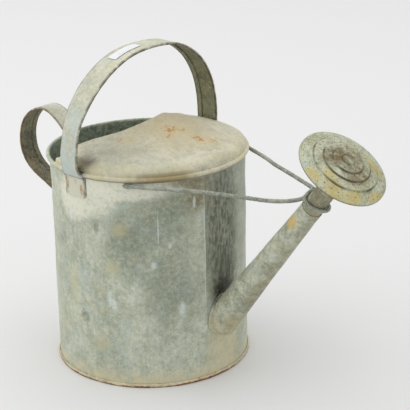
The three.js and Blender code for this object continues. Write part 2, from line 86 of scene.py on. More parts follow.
def threadPath(points, count, fine=24):     # a centripetal spline through the points
    known = np.asarray(points, float)
    known = np.vstack([2 * known[0] - known[1], known, 2 * known[-1] - known[-2]])
    line = []
    for i in range(1, len(known) - 2):
        a, b, c, d = known[i - 1:i + 3]
        ab, bc, cd = (math.sqrt(np.linalg.norm((q - p)[:3])) for p, q in ((a, b), (b, c), (c, d)))
        leave = ((b - a) / ab - (c - a) / (ab + bc) + (c - b) / bc) * bc
        arrive = ((c - b) / bc - (d - b) / (bc + cd) + (d - c) / cd) * bc
        t = np.linspace(0, 1, fine, endpoint=False)[:, None]
        line.append((2 * t**3 - 3 * t**2 + 1) * b + (t**3 - 2 * t**2 + t) * leave
                    + (3 * t**2 - 2 * t**3) * c + (t**3 - t**2) * arrive)
    line.append(known[-2][None])
    return evenSteps(np.vstack(line), count)


def gridFaces(rows, columns, ringRows=False, ringColumns=False, caps=False):
    row = np.arange(rows if ringRows else rows - 1)
    column = np.arange(columns if ringColumns else columns - 1)
    i, j = np.meshgrid(row, column, indexing="ij")
    nextRow, nextColumn = (i + 1) % rows, (j + 1) % columns
    corners = [i * columns + j, i * columns + nextColumn, nextRow * columns + nextColumn,
        nextRow * columns + j]
    faces = np.stack(corners, -1).reshape(-1, 4).tolist()
    if caps:
        faces.append(list(range(columns))[::-1])
        faces.append(list(range((rows - 1) * columns, rows * columns)))
    return faces


def makeMesh(name, islands, sharpDegrees=38):
    points, faces, start = [], [], 0
    for islandPoints, islandFaces in islands:
        flat = islandPoints.reshape(-1, 3)
        points.append(flat)
        faces += [[v + start for v in face] for face in islandFaces]
        start += len(flat)
    mesh = bpy.data.meshes.new(name)
    mesh.from_pydata((np.vstack(points) * mm + canAxis).tolist(), [], faces)
    work = bmesh.new()
    work.from_mesh(mesh)
    bmesh.ops.remove_doubles(work, verts=work.verts, dist=3e-6)
    bmesh.ops.recalc_face_normals(work, faces=work.faces)
    work.to_mesh(mesh)
    work.free()
    piece = bpy.data.objects.new(name, mesh)
    bpy.context.scene.collection.objects.link(piece)
    soften(piece, sharpDegrees)
    return piece


def soften(piece, sharpDegrees=38):
    piece.data.shade_smooth()
    piece.data.set_sharp_from_angle(angle=math.radians(sharpDegrees))


def cutAway(piece, cutter):
    step = piece.modifiers.new("cut", "BOOLEAN")
    step.operation = "DIFFERENCE"
    step.solver = "EXACT"
    step.object = cutter
    whole = bpy.context.evaluated_depsgraph_get()
    mesh = bpy.data.meshes.new_from_object(piece.evaluated_get(whole))
    piece.modifiers.clear()
    piece.data = mesh
    bpy.data.objects.remove(cutter)
    soften(piece)


def prism(outline, low, high):              # a block with this plan, used only to cut with
    plan = np.asarray(outline, float)
    bottom = np.c_[plan, np.full(len(plan), low)]
    top = np.c_[plan, np.full(len(plan), high)]
    return np.stack([bottom, top]), gridFaces(2, len(plan), ringColumns=True, caps=True)


# profile is a closed loop of [radius, height]
def turned(profile, sides, origin=(0, 0, 0), along=(0, 0, 1)):
    way = np.asarray(along, float)
    way /= np.linalg.norm(way)
    across = np.cross((0, 1.0, 0), way)
    across /= np.linalg.norm(across)
    other = np.cross(way, across)
    turn = np.linspace(0, 2 * math.pi, sides, endpoint=False)[:, None, None]
    radius, height = np.asarray(profile, float).T[:, None, :, None]
    points = np.asarray(origin, float) + height * way + radius * (np.cos(turn) * across
        + np.sin(turn) * other)
    return points, gridFaces(sides, len(profile), ringRows=True, ringColumns=True)


def skewed(points, skew):                   # turns a piece about the upright line through the strap's middle
    turn = math.radians(skew["degrees"])
    out = points.copy()
    x = points[..., 0] - skew["x"]
    out[..., 0] = skew["x"] + x * math.cos(turn) - points[..., 1] * math.sin(turn)
    out[..., 1] = x * math.sin(turn) + points[..., 1] * math.cos(turn)
    return out


def place(piece, node, slotName, *materials):
    for material in materials:
        piece.data.materials.append(material)
    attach(piece, "root")
    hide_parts(node)
    print("made", piece.name, len(piece.data.polygons), "faces")
    return piece


# Material tools

def paint(red, green, blue):                # screen colour, 0 to 255, to a linear one
    return tuple(((c / 255 + 0.055) / 1.055) ** 2.4 if c > 10 else c / 255 / 12.92 for c in (red, green,
        blue)) + (1.0,)


def addNode(tree, kind, inputs=None, **settings):
    node = tree.nodes.new(kind)
    for key, value in settings.items():
        setattr(node, key, value)
    for key, value in (inputs or {}).items():
        if isinstance(value, bpy.types.NodeSocket):
            tree.links.new(value, node.inputs[key])
        else:
            node.inputs[key].default_value = value
    return node


def calc(tree, operation, a, b=0.0, clamp=False):
    node = addNode(tree, "ShaderNodeMath", {0: a, 1: b}, operation=operation, use_clamp=clamp)
    return node.outputs[0]


def times(tree, a, b):
    return calc(tree, "MULTIPLY", a, b)


def vectorMath(tree, operation, a, b=(0, 0, 0)):
    node = addNode(tree, "ShaderNodeVectorMath", {0: a, 1: b}, operation=operation)
    return node.outputs["Value" if operation in ("DOT_PRODUCT", "LENGTH") else 0]


def xyzOf(tree, vector):
    return addNode(tree, "ShaderNodeSeparateXYZ", {0: vector}).outputs


def between(tree, value, low, high, to=(0.0, 1.0)):
    inputs = {"Value": value, "From Min": low, "From Max": high, "To Min": to[0], "To Max": to[1]}
    return addNode(tree, "ShaderNodeMapRange", inputs, interpolation_type="SMOOTHSTEP").outputs[0]


def mixed(tree, share, a, b, blend="MIX"):
    node = addNode(tree, "ShaderNodeMix", {0: share, 6: a, 7: b}, data_type="RGBA", blend_type=blend)
    return node.outputs[2]


def noiseOf(tree, vector, scale, detail=3.0, rough=0.55, twist=0.0):
    inputs = {"Vector": vector, "Scale": scale, "Detail": detail, "Roughness": rough, "Distortion": twist}
    return addNode(tree, "ShaderNodeTexNoise", inputs).outputs[0]


def scaled(tree, vector, by, shift=(0, 0, 0)):
    moved = vectorMath(tree, "ADD", vector, shift)
    return vectorMath(tree, "MULTIPLY", moved, by)


def makeGroup(name, inputs, outputs):
    tree = bpy.data.node_groups.new(name, "ShaderNodeTree")
    for label, kind, value in inputs:
        socket = tree.interface.new_socket(name=label, in_out="INPUT", socket_type=kind)
        if value is not None:
            socket.default_value = value
    for label, kind in outputs:
        tree.interface.new_socket(name=label, in_out="OUTPUT", socket_type=kind)
    return tree, tree.nodes.new("NodeGroupInput").outputs, tree.nodes.new("NodeGroupOutput").inputs


def groupNode(tree, group, inputs):
    node = addNode(tree, "ShaderNodeGroup", None, node_tree=group)
    for key, value in inputs.items():
        if isinstance(value, bpy.types.NodeSocket):
            tree.links.new(value, node.inputs[key])
        else:
            node.inputs[key].default_value = value
    return node.outputs


floatSocket, colourSocket, vectorSocket = "NodeSocketFloat", "NodeSocketColor", "NodeSocketVector"


# where a point is on the wall: round it, up it, and its radius, in metres
def wallPlaceGroup():
    tree, ins, outs = makeGroup("wallPlace", [
        ("Vector", vectorSocket, None), ("Axis", vectorSocket, tuple(canAxis)), ("Radius", floatSocket, 0.11),
    ], [("Vector", vectorSocket)])
    away = vectorMath(tree, "SUBTRACT", ins["Vector"], ins["Axis"])
    x, y, z = xyzOf(tree, away)
    round_ = times(tree, calc(tree, "ARCTAN2", y, x), ins["Radius"])
    reach = calc(tree, "SQRT", calc(tree, "ADD", times(tree, x, x), times(tree, y, y)))
    joined = addNode(tree, "ShaderNodeCombineXYZ", {0: round_, 1: z, 2: reach})
    tree.links.new(joined.outputs[0], outs["Vector"])
    return tree


def patinaGroup():                          # mottled weathered zinc
    tree, ins, outs = makeGroup("zincPatina", [
        ("Vector", vectorSocket, None), ("Pale", colourSocket, None), ("Deep", colourSocket, None),
        ("Blue", colourSocket, None), ("Ochre", colourSocket, None), ("Scale", floatSocket, 1.0),
        ("Contrast", floatSocket, 1.0), ("Blueness", floatSocket, 0.5), ("Ochreness", floatSocket, 0.4),
    ], [("Color", colourSocket), ("Roughness", floatSocket), ("Height", floatSocket)])
    vector = addNode(tree, "ShaderNodeVectorMath", {0: ins["Vector"], "Scale": ins["Scale"]},
        operation="SCALE").outputs[0]
    cloud = noiseOf(tree, vector, 13, 5, 0.6, 0.4)
    blotch = noiseOf(tree, vector, 55, 4, 0.6, 0.3)
    mottle = noiseOf(tree, vector, 210, 3, 0.6)
    grain = noiseOf(tree, vector, 800, 2, 0.6)
    total = calc(tree, "ADD", times(tree, cloud, 0.2), times(tree, blotch, 0.27))
    total = calc(tree, "ADD", total, times(tree, mottle, 0.31))
    total = calc(tree, "ADD", total, times(tree, grain, 0.22))
    spread = calc(tree, "DIVIDE", 0.13, ins["Contrast"])
    tone = between(tree, total, calc(tree, "SUBTRACT", 0.5, spread), calc(tree, "ADD", 0.5, spread))
    colour = mixed(tree, tone, ins["Deep"], ins["Pale"])
    blue = between(tree, noiseOf(tree, scaled(tree, vector, (1, 1, 1), (3, 1, 2)), 38, 5, 0.68, 0.6), 0.52,
        0.68)
    colour = mixed(tree, times(tree, blue, ins["Blueness"]), colour, ins["Blue"])
    ochre = between(tree, noiseOf(tree, scaled(tree, vector, (1, 1, 1), (7, 5, 1)), 46, 5, 0.68, 0.5), 0.55,
        0.7)
    colour = mixed(tree, times(tree, ochre, ins["Ochreness"]), colour, ins["Ochre"])
    speck = between(tree, noiseOf(tree, scaled(tree, vector, (1, 1, 1), (2, 9, 4)), 380, 2, 0.5), 0.36, 0.27)
    colour = mixed(tree, times(tree, speck, 0.55), colour, (0.55, 0.52, 0.42, 1), "MULTIPLY")
    fleck = between(tree, noiseOf(tree, scaled(tree, vector, (1, 1, 1), (5, 3, 8)), 520, 2, 0.5), 0.64, 0.72)
    colour = mixed(tree, times(tree, fleck, 0.5), colour, paint(222, 224, 214))
    tree.links.new(colour, outs["Color"])
    tree.links.new(between(tree, mottle, 0.3, 0.7, (0.5, 0.72)), outs["Roughness"])
    height = calc(tree, "ADD", times(tree, mottle, 0.7), times(tree, grain, 0.3))
    tree.links.new(height, outs["Height"])
    return tree


def patchGroup():                           # a soft, ragged oval on the surface
    tree, ins, outs = makeGroup("patch", [
        ("Vector", vectorSocket, None), ("Centre", vectorSocket, (0, 0, 0)),
        ("Size", vectorSocket, (1, 1, 1)),
        ("Feather", floatSocket, 0.3), ("Ragged", floatSocket, 0.3), ("Tear", floatSocket, 90.0),
    ], [("Mask", floatSocket)])
    away = vectorMath(tree, "SUBTRACT", ins["Vector"], ins["Centre"])
    shape = vectorMath(tree, "DIVIDE", away, ins["Size"])
    far = vectorMath(tree, "LENGTH", shape)
    torn = calc(tree, "SUBTRACT", noiseOf(tree, ins["Vector"], ins["Tear"], 4, 0.65), 0.5)
    far = calc(tree, "ADD", far, times(tree, torn, times(tree, ins["Ragged"], 2.0)))
    mask = between(tree, far, calc(tree, "ADD", 1.0, ins["Feather"]),
        calc(tree, "SUBTRACT", 1.0, ins["Feather"]))
    tree.links.new(mask, outs["Mask"])
    return tree


def streakGroup():                          # thin runs down the surface
    tree, ins, outs = makeGroup("streaks", [
        ("Vector", vectorSocket, None), ("Fine", floatSocket, 380.0), ("Long", floatSocket, 14.0),
        ("Low", floatSocket, 0.5), ("High", floatSocket, 0.7),
    ], [("Mask", floatSocket)])
    stretch = addNode(tree, "ShaderNodeCombineXYZ", {0: ins["Fine"], 1: ins["Long"], 2: 0.0}).outputs[0]
    lines = vectorMath(tree, "MULTIPLY", ins["Vector"], stretch)
    mask = between(tree, noiseOf(tree, lines, 1.0, 3, 0.6, 0.2), ins["Low"], ins["High"])
    tree.links.new(mask, outs["Mask"])
    return tree


def rustGroup():                            # crumbly brown rust, strongest where Amount is high
    tree, ins, outs = makeGroup("rust", [
        ("Vector", vectorSocket, None), ("Amount", floatSocket, 0.5), ("Scale", floatSocket, 1.0),
    ], [("Mask", floatSocket), ("Color", colourSocket)])
    vector = addNode(tree, "ShaderNodeVectorMath", {0: ins["Vector"], "Scale": ins["Scale"]},
        operation="SCALE").outputs[0]
    crumbs = noiseOf(tree, vector, 160, 5, 0.7, 0.4)
    mask = between(tree, calc(tree, "ADD", crumbs, ins["Amount"]), 0.92, 1.12)
    tone = noiseOf(tree, vector, 420, 3, 0.6)
    tree.links.new(mask, outs["Mask"])
    tree.links.new(mixed(tree, between(tree, tone, 0.35, 0.65), paint(88, 58, 34), paint(170, 116, 62)),
        outs["Color"])
    return tree


wallPlace, zincPatina, patch, streaks, rust = wallPlaceGroup(), patinaGroup(), patchGroup(), streakGroup(), rustGroup()
print("shader groups made")


def startMaterial(name, metallic=0.12):
    material = bpy.data.materials.new(name)
    material.use_nodes = True
    tree = material.node_tree
    shader = tree.nodes["Principled BSDF"]
    shader.inputs["Metallic"].default_value = metallic
    shader.inputs["Specular IOR Level"].default_value = 0.35
    where = addNode(tree, "ShaderNodeTexCoord").outputs["Object"]
    return material, tree, shader, where


def endMaterial(tree, shader, colour, roughness, height, bump=0.25, depth=0.0006):
    tree.links.new(colour, shader.inputs["Base Color"])
    tree.links.new(roughness, shader.inputs["Roughness"])
    lift = addNode(tree, "ShaderNodeBump", {"Strength": bump, "Distance": depth, "Height": height})
    tree.links.new(lift.outputs["Normal"], shader.inputs["Normal"])


def onPatch(tree, vector, spot):
    middle, size, feather, ragged, tear = spot
    inputs = {"Vector": vector, "Centre": (*middle, 0), "Size": (*size, 1), "Feather": feather,
        "Ragged": ragged, "Tear": tear}
    return groupNode(tree, patch, inputs)["Mask"]


def flatten(tree, vector):                  # drops the radius, so patches are measured on the sheet alone
    return vectorMath(tree, "MULTIPLY", vector, (1, 1, 0))


def roundBy(degrees, height):               # an angle and a height on the wall to metres round and up
    return (math.radians(degrees) * 0.11, height * mm)


zincTones = {
    "Pale": paint(200, 204, 185), "Deep": paint(148, 155, 136),
    "Blue": paint(170, 184, 180), "Ochre": paint(190, 182, 142),
}

wallLook = {
    "bandColour": paint(72, 74, 54), "splashColour": paint(220, 219, 202), "footColour": paint(204, 194, 158),
    # the two inside tones are painted shade: darker zinc for the inner faces and the cover's underside
    "insideShadePale": paint(178, 188, 164), "insideShadeDeep": paint(98, 108, 90), "whiteColour": paint(206, 216, 214),
    "band": [(roundBy(2.5, 175), (0.027, 0.08), 0.5, 0.35, 110.0),
    (roundBy(4, 118), (0.017, 0.028), 0.6, 0.35, 110.0)],
    # painted shadow in the crevice over the spout's root
    "spoutRootShadow": [(roundBy(2.0, 102), (0.016, 0.014), 0.6, 0.35, 120.0)],
    "splash": [
        (roundBy(-84, 222), (0.042, 0.024), 0.3, 0.42, 150.0),
        (roundBy(-57, 234), (0.05, 0.013), 0.35, 0.45, 170.0),
        (roundBy(-93, 208), (0.02, 0.02), 0.4, 0.5, 160.0),
    ],
    "grime": [(roundBy(-24, 237), (0.03, 0.004), 0.7, 0.6, 140.0),
    (roundBy(-16, 222), (0.014, 0.016), 0.8, 0.8, 160.0)],
    "foot": [(roundBy(3, 34), (0.026, 0.026), 0.5, 0.5, 110.0)],
    "white": [
        (roundBy(-68.9, 105), (0.0028, 0.0085), 0.6, 0.9, 330.0),
        (roundBy(-66.5, 98), (0.003, 0.006), 0.6, 0.9, 330.0),
        (roundBy(-42.5, 146), (0.003, 0.0038), 0.6, 0.9, 380.0),
        (roundBy(-26.6, 91), (0.0032, 0.0085), 0.7, 0.9, 320.0),
        (roundBy(-18.1, 214), (0.0016, 0.006), 0.5, 0.6, 260.0),
        (roundBy(-39.5, 186), (0.0006, 0.016), 0.7, 0.6, 240.0),
        (roundBy(-11.6, 150), (0.0008, 0.07), 0.7, 0.5, 200.0),
        (roundBy(-96, 192), (0.0012, 0.008), 0.6, 0.6, 240.0),
        (roundBy(-55, 120), (0.0018, 0.002), 0.7, 0.9, 420.0),
        (roundBy(-33, 168), (0.002, 0.003), 0.7, 0.9, 420.0),
    ],
    "ochre": [
        (roundBy(-67, 142), (0.007, 0.008), 0.7, 0.8, 170.0),
        (roundBy(-75.8, 49), (0.010, 0.009), 0.7, 0.8, 170.0),
        (roundBy(-61.8, 186), (0.009, 0.007), 0.7, 0.8, 170.0),
        (roundBy(-96, 110), (0.006, 0.02), 0.7, 0.8, 170.0),
    ],
    "dark": [
        (roundBy(-76.2, 188), (0.003, 0.008), 0.5, 0.6, 220.0),
        (roundBy(-87.4, 76), (0.006, 0.006), 0.5, 0.6, 220.0),
        (roundBy(-45, 186), (0.04, 0.026), 0.8, 0.6, 90.0),
        (roundBy(-33, 120), (0.026, 0.04), 0.8, 0.6, 90.0),
        (roundBy(-31, 215), (0.032, 0.018), 0.7, 0.5, 90.0),
        (roundBy(-60, 160), (0.022, 0.024), 0.8, 0.7, 90.0),
    ],
}


def layer(tree, colour, vector, spots, tint, strength):
    worn = between(tree, noiseOf(tree, vector, 210, 5, 0.72), 0.34, 0.6, (0.45, 1.0))
    for spot in spots:
        share = times(tree, times(tree, onPatch(tree, vector, spot), strength), worn)
        colour = mixed(tree, share, colour, tint)
    return colour


def wallMaterial():
    material, tree, shader, where = startMaterial("wallZinc")
    look = wallLook
    onWall = groupNode(tree, wallPlace, {"Vector": where})["Vector"]
    sheet = flatten(tree, onWall)
    base = groupNode(tree, zincPatina, {"Vector": where, **zincTones, "Contrast": 0.98, "Blueness": 0.6,
        "Ochreness": 0.45})
    colour = base["Color"]
    runs = groupNode(tree, streaks, {"Vector": sheet, "Fine": 420.0, "Long": 13.0, "Low": 0.55,
        "High": 0.75})["Mask"]
    colour = mixed(tree, times(tree, runs, 0.22), colour, look["whiteColour"])
    darkRuns = groupNode(tree, streaks, {"Vector": scaled(tree, sheet, (1, 1, 1), (1, 1, 0)), "Fine": 260.0,
                                         "Long": 9.0,
                                         "Low": 0.55, "High": 0.8})["Mask"]
    colour = mixed(tree, times(tree, darkRuns, 0.3), colour, paint(120, 126, 114))
    colour = layer(tree, colour, sheet, look["dark"], paint(112, 120, 102), 0.62)
    colour = layer(tree, colour, sheet, look["ochre"], zincTones["Ochre"], 0.6)
    # the dark band over the spout's root stops at the lap seam
    side, height, _ = xyzOf(tree, sheet)
    pastSeam = between(tree, side, math.radians(-11.9) * 0.11, math.radians(-10.9) * 0.11)
    bandRuns = groupNode(tree, streaks, {"Vector": sheet, "Fine": 240.0, "Long": 60.0, "Low": 0.34,
        "High": 0.66})["Mask"]
    for spot in look["band"]:
        share = times(tree, onPatch(tree, sheet, spot), pastSeam)
        share = times(tree, share, between(tree, bandRuns, 0.0, 1.0, (0.55, 1.0)))
        share = times(tree, share, between(tree, noiseOf(tree, sheet, 150, 5, 0.72), 0.3, 0.55, (0.55, 1.0)))
        colour = mixed(tree, share, colour, look["bandColour"])
    rightSide = times(tree, pastSeam, between(tree, height, 0.03, 0.16))
    rightSide = times(tree, rightSide, between(tree, side, 0.085, 0.05))
    colour = mixed(tree, times(tree, rightSide, 0.3), colour, paint(112, 116, 104))
    # painted shadow: near black in the crevice where the spout's top meets the wall
    colour = layer(tree, colour, sheet, look["spoutRootShadow"], paint(44, 42, 30), 1.0)
    colour = layer(tree, colour, sheet, look["foot"], look["footColour"], 0.75)
    colour = layer(tree, colour, sheet, look["grime"], paint(118, 106, 72), 0.85)
    colour = layer(tree, colour, sheet, look["splash"], look["splashColour"], 0.95)
    colour = layer(tree, colour, sheet, look["white"], look["whiteColour"], 0.8)
    low = between(tree, height, 0.026, 0.004)
    ragged = between(tree, noiseOf(tree, sheet, 60, 4, 0.6), 0.25, 0.7)
    colour = mixed(tree, times(tree, low, ragged), colour, look["footColour"])
    rusty = groupNode(tree, rust, {"Vector": where, "Amount": between(tree, height, 0.0085, 0.003,
        (0.05, 0.5))})
    colour = mixed(tree, rusty["Mask"], colour, rusty["Color"])
    endMaterial(tree, shader, colour, base["Roughness"], base["Height"], 0.3)
    return material


# painted shade: a darker copy of the zinc for the wall's inner faces
def insideShadeMaterial():
    material, tree, shader, where = startMaterial("insideZinc")
    sheet = flatten(tree, groupNode(tree, wallPlace, {"Vector": where})["Vector"])
    base = groupNode(tree, zincPatina, {
        "Vector": where, "Pale": wallLook["insideShadePale"], "Deep": wallLook["insideShadeDeep"],
        "Blue": paint(112, 126, 116),
        "Ochre": paint(150, 142, 108), "Contrast": 1.2, "Blueness": 0.5, "Ochreness": 0.3})
    runs = groupNode(tree, streaks, {"Vector": sheet, "Fine": 300.0, "Long": 12.0, "Low": 0.5,
        "High": 0.75})["Mask"]
    colour = mixed(tree, times(tree, runs, 0.4), base["Color"], paint(170, 182, 164))
    endMaterial(tree, shader, colour, base["Roughness"], base["Height"], 0.3)
    return material


def plainZinc(name, tones, contrast=1.1, blueness=0.4, ochreness=0.4, rustAmount=0.05, bump=0.3,
        metallic=0.12):
    material, tree, shader, where = startMaterial(name, metallic)
    base = groupNode(tree, zincPatina, {
        "Vector": where, **tones, "Contrast": contrast, "Blueness": blueness, "Ochreness": ochreness})
    rusty = groupNode(tree, rust, {"Vector": where, "Amount": rustAmount})
    colour = mixed(tree, rusty["Mask"], base["Color"], rusty["Color"])
    endMaterial(tree, shader, colour, base["Roughness"], base["Height"], bump)
    return material


def splitInside(piece):                     # faces that look at the can's axis take the second material
    centre = Vector(canAxis)
    for face in piece.data.polygons:
        away = face.center - centre
        face.material_index = 1 if away.x * face.normal.x + away.y * face.normal.y < 0 and abs(face.normal.z) < 0.9 else 0


# Can wall: one sheet lapped and soldered at the seam, curled outward round the open part of the mouth
wallShape = {
    "foot": 1.6, "top": 243.7, "curlRadius": 2.3, "curlEnd": -118, "curlFrom": 109.2, "rows": 92,
    "columns": 300,
    "lapAngle": -11.4, "lapLift": 0.7, "slitAngle": -81.6, "slitWidth": 1.2, "slitLow": 220.0,
    "slitHigh": 240.0,
    "holeHeight": 72.0, "holeTall": 18.3, "holeWide": 8.2, "swell": 0.3,
    "dents": [(-87.4, 76, 10, 1.3), (-76.2, 188, 9, 0.9), (-58, 60, 22, 0.8), (-101, 120, 26, 1.0),
    (150, 90, 24, 1.2)],
}


def wallDent(degrees, height):
    shape = wallShape
    turn = np.radians(degrees)
    spot = np.stack([110 * np.cos(turn), 110 * np.sin(turn), height], -1)
    quiet = smooth(height, 6, 30) * (1 - smooth(height, 205, 232))
    quiet = quiet * (1 - np.exp(-((degrees / 15) ** 2 + ((height - 75) / 42) ** 2) ** 2))
    depth = shape["swell"] * np.clip(ripple(spot, 75, 3) + 1.6, 0, 4) + 0.06 * ripple(spot, 17, 4)
    for angle, z, size, deep in shape["dents"]:
        near = ((degrees - angle) * math.radians(110) / size) ** 2 + ((height - z) / size) ** 2
        depth = depth + deep * np.exp(-near)
    return depth * quiet


def makeWall():
    shape = wallShape
    radius, sheet = canSize["radius"], canSize["sheet"]
    half = math.degrees(shape["slitWidth"] / radius) / 2
    marks = [shape["lapAngle"] - 0.03, shape["lapAngle"] + 0.03, shape["slitAngle"] - half,
        shape["slitAngle"] + half]
    marks += [shape["curlFrom"] - 0.5, shape["curlFrom"] + 1.5, -shape["curlFrom"] + 0.5,
        -shape["curlFrom"] - 1.5]
    angles = np.array(sorted(list(np.linspace(-180, 180, shape["columns"], endpoint=False)) + marks))
    rows = np.array(sorted(list(np.linspace(shape["foot"], shape["top"], shape["rows"])) + [shape["slitLow"],
        shape["slitHigh"]]))
    count, tall = len(angles), len(rows)
    degrees, heights = np.repeat(angles[:, None], tall, 1), np.repeat(rows[None], count, 0)
    midAngle, midRow = (angles + np.append(angles[1:], 180)) / 2, (rows[1:] + rows[:-1]) / 2
    inHole = (midAngle[:,
        None] / shape["holeWide"]) ** 2 + ((midRow[None] - shape["holeHeight"]) / shape["holeTall"]) ** 2 < 1
    inSlit = (abs(midAngle[:,
        None] - shape["slitAngle"]) < half) & (midRow[None] > shape["slitLow"]) & (midRow[None] < shape["slitHigh"])
    gone = inHole | inSlit
    touched = np.zeros((count, tall), int)
    for i, j in np.argwhere(inHole):
        for a, b in ((i, j), (i + 1, j), (i, j + 1), (i + 1, j + 1)):
            touched[a % count, b] += 1
    # the hole's rim is pulled onto an even oval
    for i, j in np.argwhere((touched > 0) & (touched < 4)):
        out = math.hypot(degrees[i, j] / shape["holeWide"],
            (heights[i, j] - shape["holeHeight"]) / shape["holeTall"])
        degrees[i, j] /= out
        heights[i, j] = shape["holeHeight"] + (heights[i, j] - shape["holeHeight"]) / out
    dent = wallDent(degrees, heights)
    lap = shape["lapLift"] * smooth(degrees, -27, -14) * (degrees < shape["lapAngle"]) * smooth(heights, 5, 9)
    curlCentre = radius - sheet + shape["curlRadius"]
    inner = arcPoints(curlCentre, shape["top"], shape["curlRadius"] - sheet, shape["curlRadius"] - sheet, 180,
        shape["curlEnd"], 12)
    outer = arcPoints(curlCentre, shape["top"], shape["curlRadius"], shape["curlRadius"], shape["curlEnd"],
        180, 14)
    curled = smooth(abs(angles), shape["curlFrom"] - 0.5, shape["curlFrom"] + 1.5)[:, None, None]
    inner = (1 - curled) * np.array([radius, shape["top"]]) + curled * inner[None]
    outer = (1 - curled) * np.array([radius - sheet, shape["top"]]) + curled * outer[None]
    reach = np.concatenate([radius + lap - dent, inner[..., 0], outer[..., 0],
        (radius - sheet - dent)[:, ::-1]], 1)
    level = np.concatenate([heights, inner[..., 1], outer[..., 1], heights[:, ::-1]], 1)
    width = reach.shape[1]
    turn = np.concatenate([degrees, np.repeat(angles[:, None], width - 2 * tall, 1), degrees[:, ::-1]], 1)
    turn = np.radians(turn)
    points = np.stack([reach * np.cos(turn), reach * np.sin(turn), level], -1)
    faces = []
    for i in range(count):
        k = (i + 1) % count
        for j in range(width):
            m = (j + 1) % width
            row = j if j < tall - 1 else width - 2 - j if j >= width - tall and j < width - 1 else None
            if row is not None and gone[i, row]:
                continue
            faces.append([i * width + j, i * width + m, k * width + m, k * width + j])
    for i, j in np.argwhere(gone):          # the sheet's cut edge round the hole and the slit
        k = (i + 1) % count
        sides = [((i, j), (i, j + 1), ((i - 1) % count, j)), ((k, j + 1), (k, j), (k, j)),
                 ((i, j + 1), (k, j + 1), (i, j + 1)), ((k, j), (i, j), (i, j - 1))]
        for a, b, neighbour in sides:
            if not gone[neighbour]:
                back = [width - 1 - q[1] for q in (b, a)]
                faces.append([a[0] * width + a[1], b[0] * width + b[1], b[0] * width + back[0],
                    a[0] * width + back[1]])
    return makeMesh("canWall", [(points, faces)])


wall = makeWall()
place(wall, "body_shell", "weathered_zinc", wallMaterial(), insideShadeMaterial())
splitInside(wall)


# Base: the pan's edge is folded round the foot of the wall
footShape = {
    "sides": 360, "wear": 0.28,
    "profile": [
        (0, 6), (60, 6), (107, 6), (107.9, 5.2), (107.9, 1.0), (108.5, 0.2), (109.1, 0), (110.6, 0),
        (111.3, 0.35),
        (111.7, 1.1), (111.8, 2.2), (111.7, 3.4), (111.35, 4.25), (110.9, 4.6), (110.5, 4.6), (110.3, 4.3),
        (110.3, 1.3), (108.9, 1.3), (108.9, 7), (60, 7), (0, 7),
    ],
}


def makeFoot():
    points, faces = turned(footShape["profile"], footShape["sides"])
    reach = np.hypot(points[..., 0], points[..., 1])
    outside = smooth(reach, 110.5, 111.1)
    worn = footShape["wear"] * np.clip(0.6 + 0.6 * ripple(points, 13, 8) + 0.5 * ripple(points, 60, 9), 0,
        1.6) * outside
    points[..., :2] *= (1 - worn / np.maximum(reach, 1))[..., None]
    points[..., 2] -= 0.5 * worn * (points[..., 2] > 3)
    return makeMesh("baseSeam", [(points, faces)])


def footMaterial():
    material, tree, shader, where = startMaterial("rustyFoot")
    onWall = groupNode(tree, wallPlace, {"Vector": where})["Vector"]
    _, height, reach = xyzOf(tree, onWall)
    base = groupNode(tree, zincPatina, {
        "Vector": where, "Pale": paint(214, 206, 176), "Deep": paint(166, 160, 132),
        "Blue": paint(176, 184, 172),
        "Ochre": paint(190, 164, 108), "Contrast": 1.2, "Blueness": 0.2, "Ochreness": 0.6})
    edge = between(tree, height, 0.0034, 0.0008, (0.28, 0.66))
    edge = calc(tree, "ADD", edge, between(tree, noiseOf(tree, where, 26, 4, 0.6), 0.3, 0.7, (-0.12, 0.16)))
    under = between(tree, reach, 0.1085, 0.107, (0.0, 0.15))
    rusty = groupNode(tree, rust, {"Vector": where, "Amount": calc(tree, "SUBTRACT", edge, under)})
    colour = mixed(tree, rusty["Mask"], base["Color"], rusty["Color"])
    endMaterial(tree, shader, colour, base["Roughness"], base["Height"], 0.4)
    return material


place(makeFoot(), "base_pan", "rusty_zinc", footMaterial())


# Cover: a domed sheet with a rolled bead, dented by the near leg and worn to a small peak at its free edge
skew = {"degrees": 2.9, "x": -5.4}
coverShape = {
    "bend": 100, "bendWide": 11, "runIn": 88, "thick": 0.9, "bead": (111.95, 244.8, 2.5, 2.3),
    "outerFoot": [(111.4, 240.9), (111.4, 242.4)], "innerFoot": [(110.3, 240.9), (110.3, 246.0)],
    "mouthCut": (-150, 1.27, 230, 320), "rimCut": (119, 104, 252.8), "legFoot": 219,
    "sides": 320, "bandRows": 64, "peak": 40.0, "shoulder": 11.2, "rise": 247.2, "sag": 2.0, "edgeX": 20.0,
    "corner": 109.2,
    "crest": (18, 7, 9, 2.2), "dent": (6, -100, 11, 5.0), "farDrop": 3.4, "nearDrop": 1.0, "cornerDrop": 4.0,
    "farShoulder": (3.2, 68, 17), "swell": 0.35, "legHalf": 15.55, "legIn": 106.4, "legOut": 122.0,
    "legTop": 248.0,
    "mouth": [                              # free edge: [share of the way across, share of the way back]
        (0, 0), (0.15, 0.027), (0.3, 0.12), (0.42, 0.235), (0.5, 0.36), (0.58, 0.51), (0.66, 0.662),
        (0.74, 0.785),
        (0.82, 0.865), (0.91, 0.925), (1, 1),
    ],
}


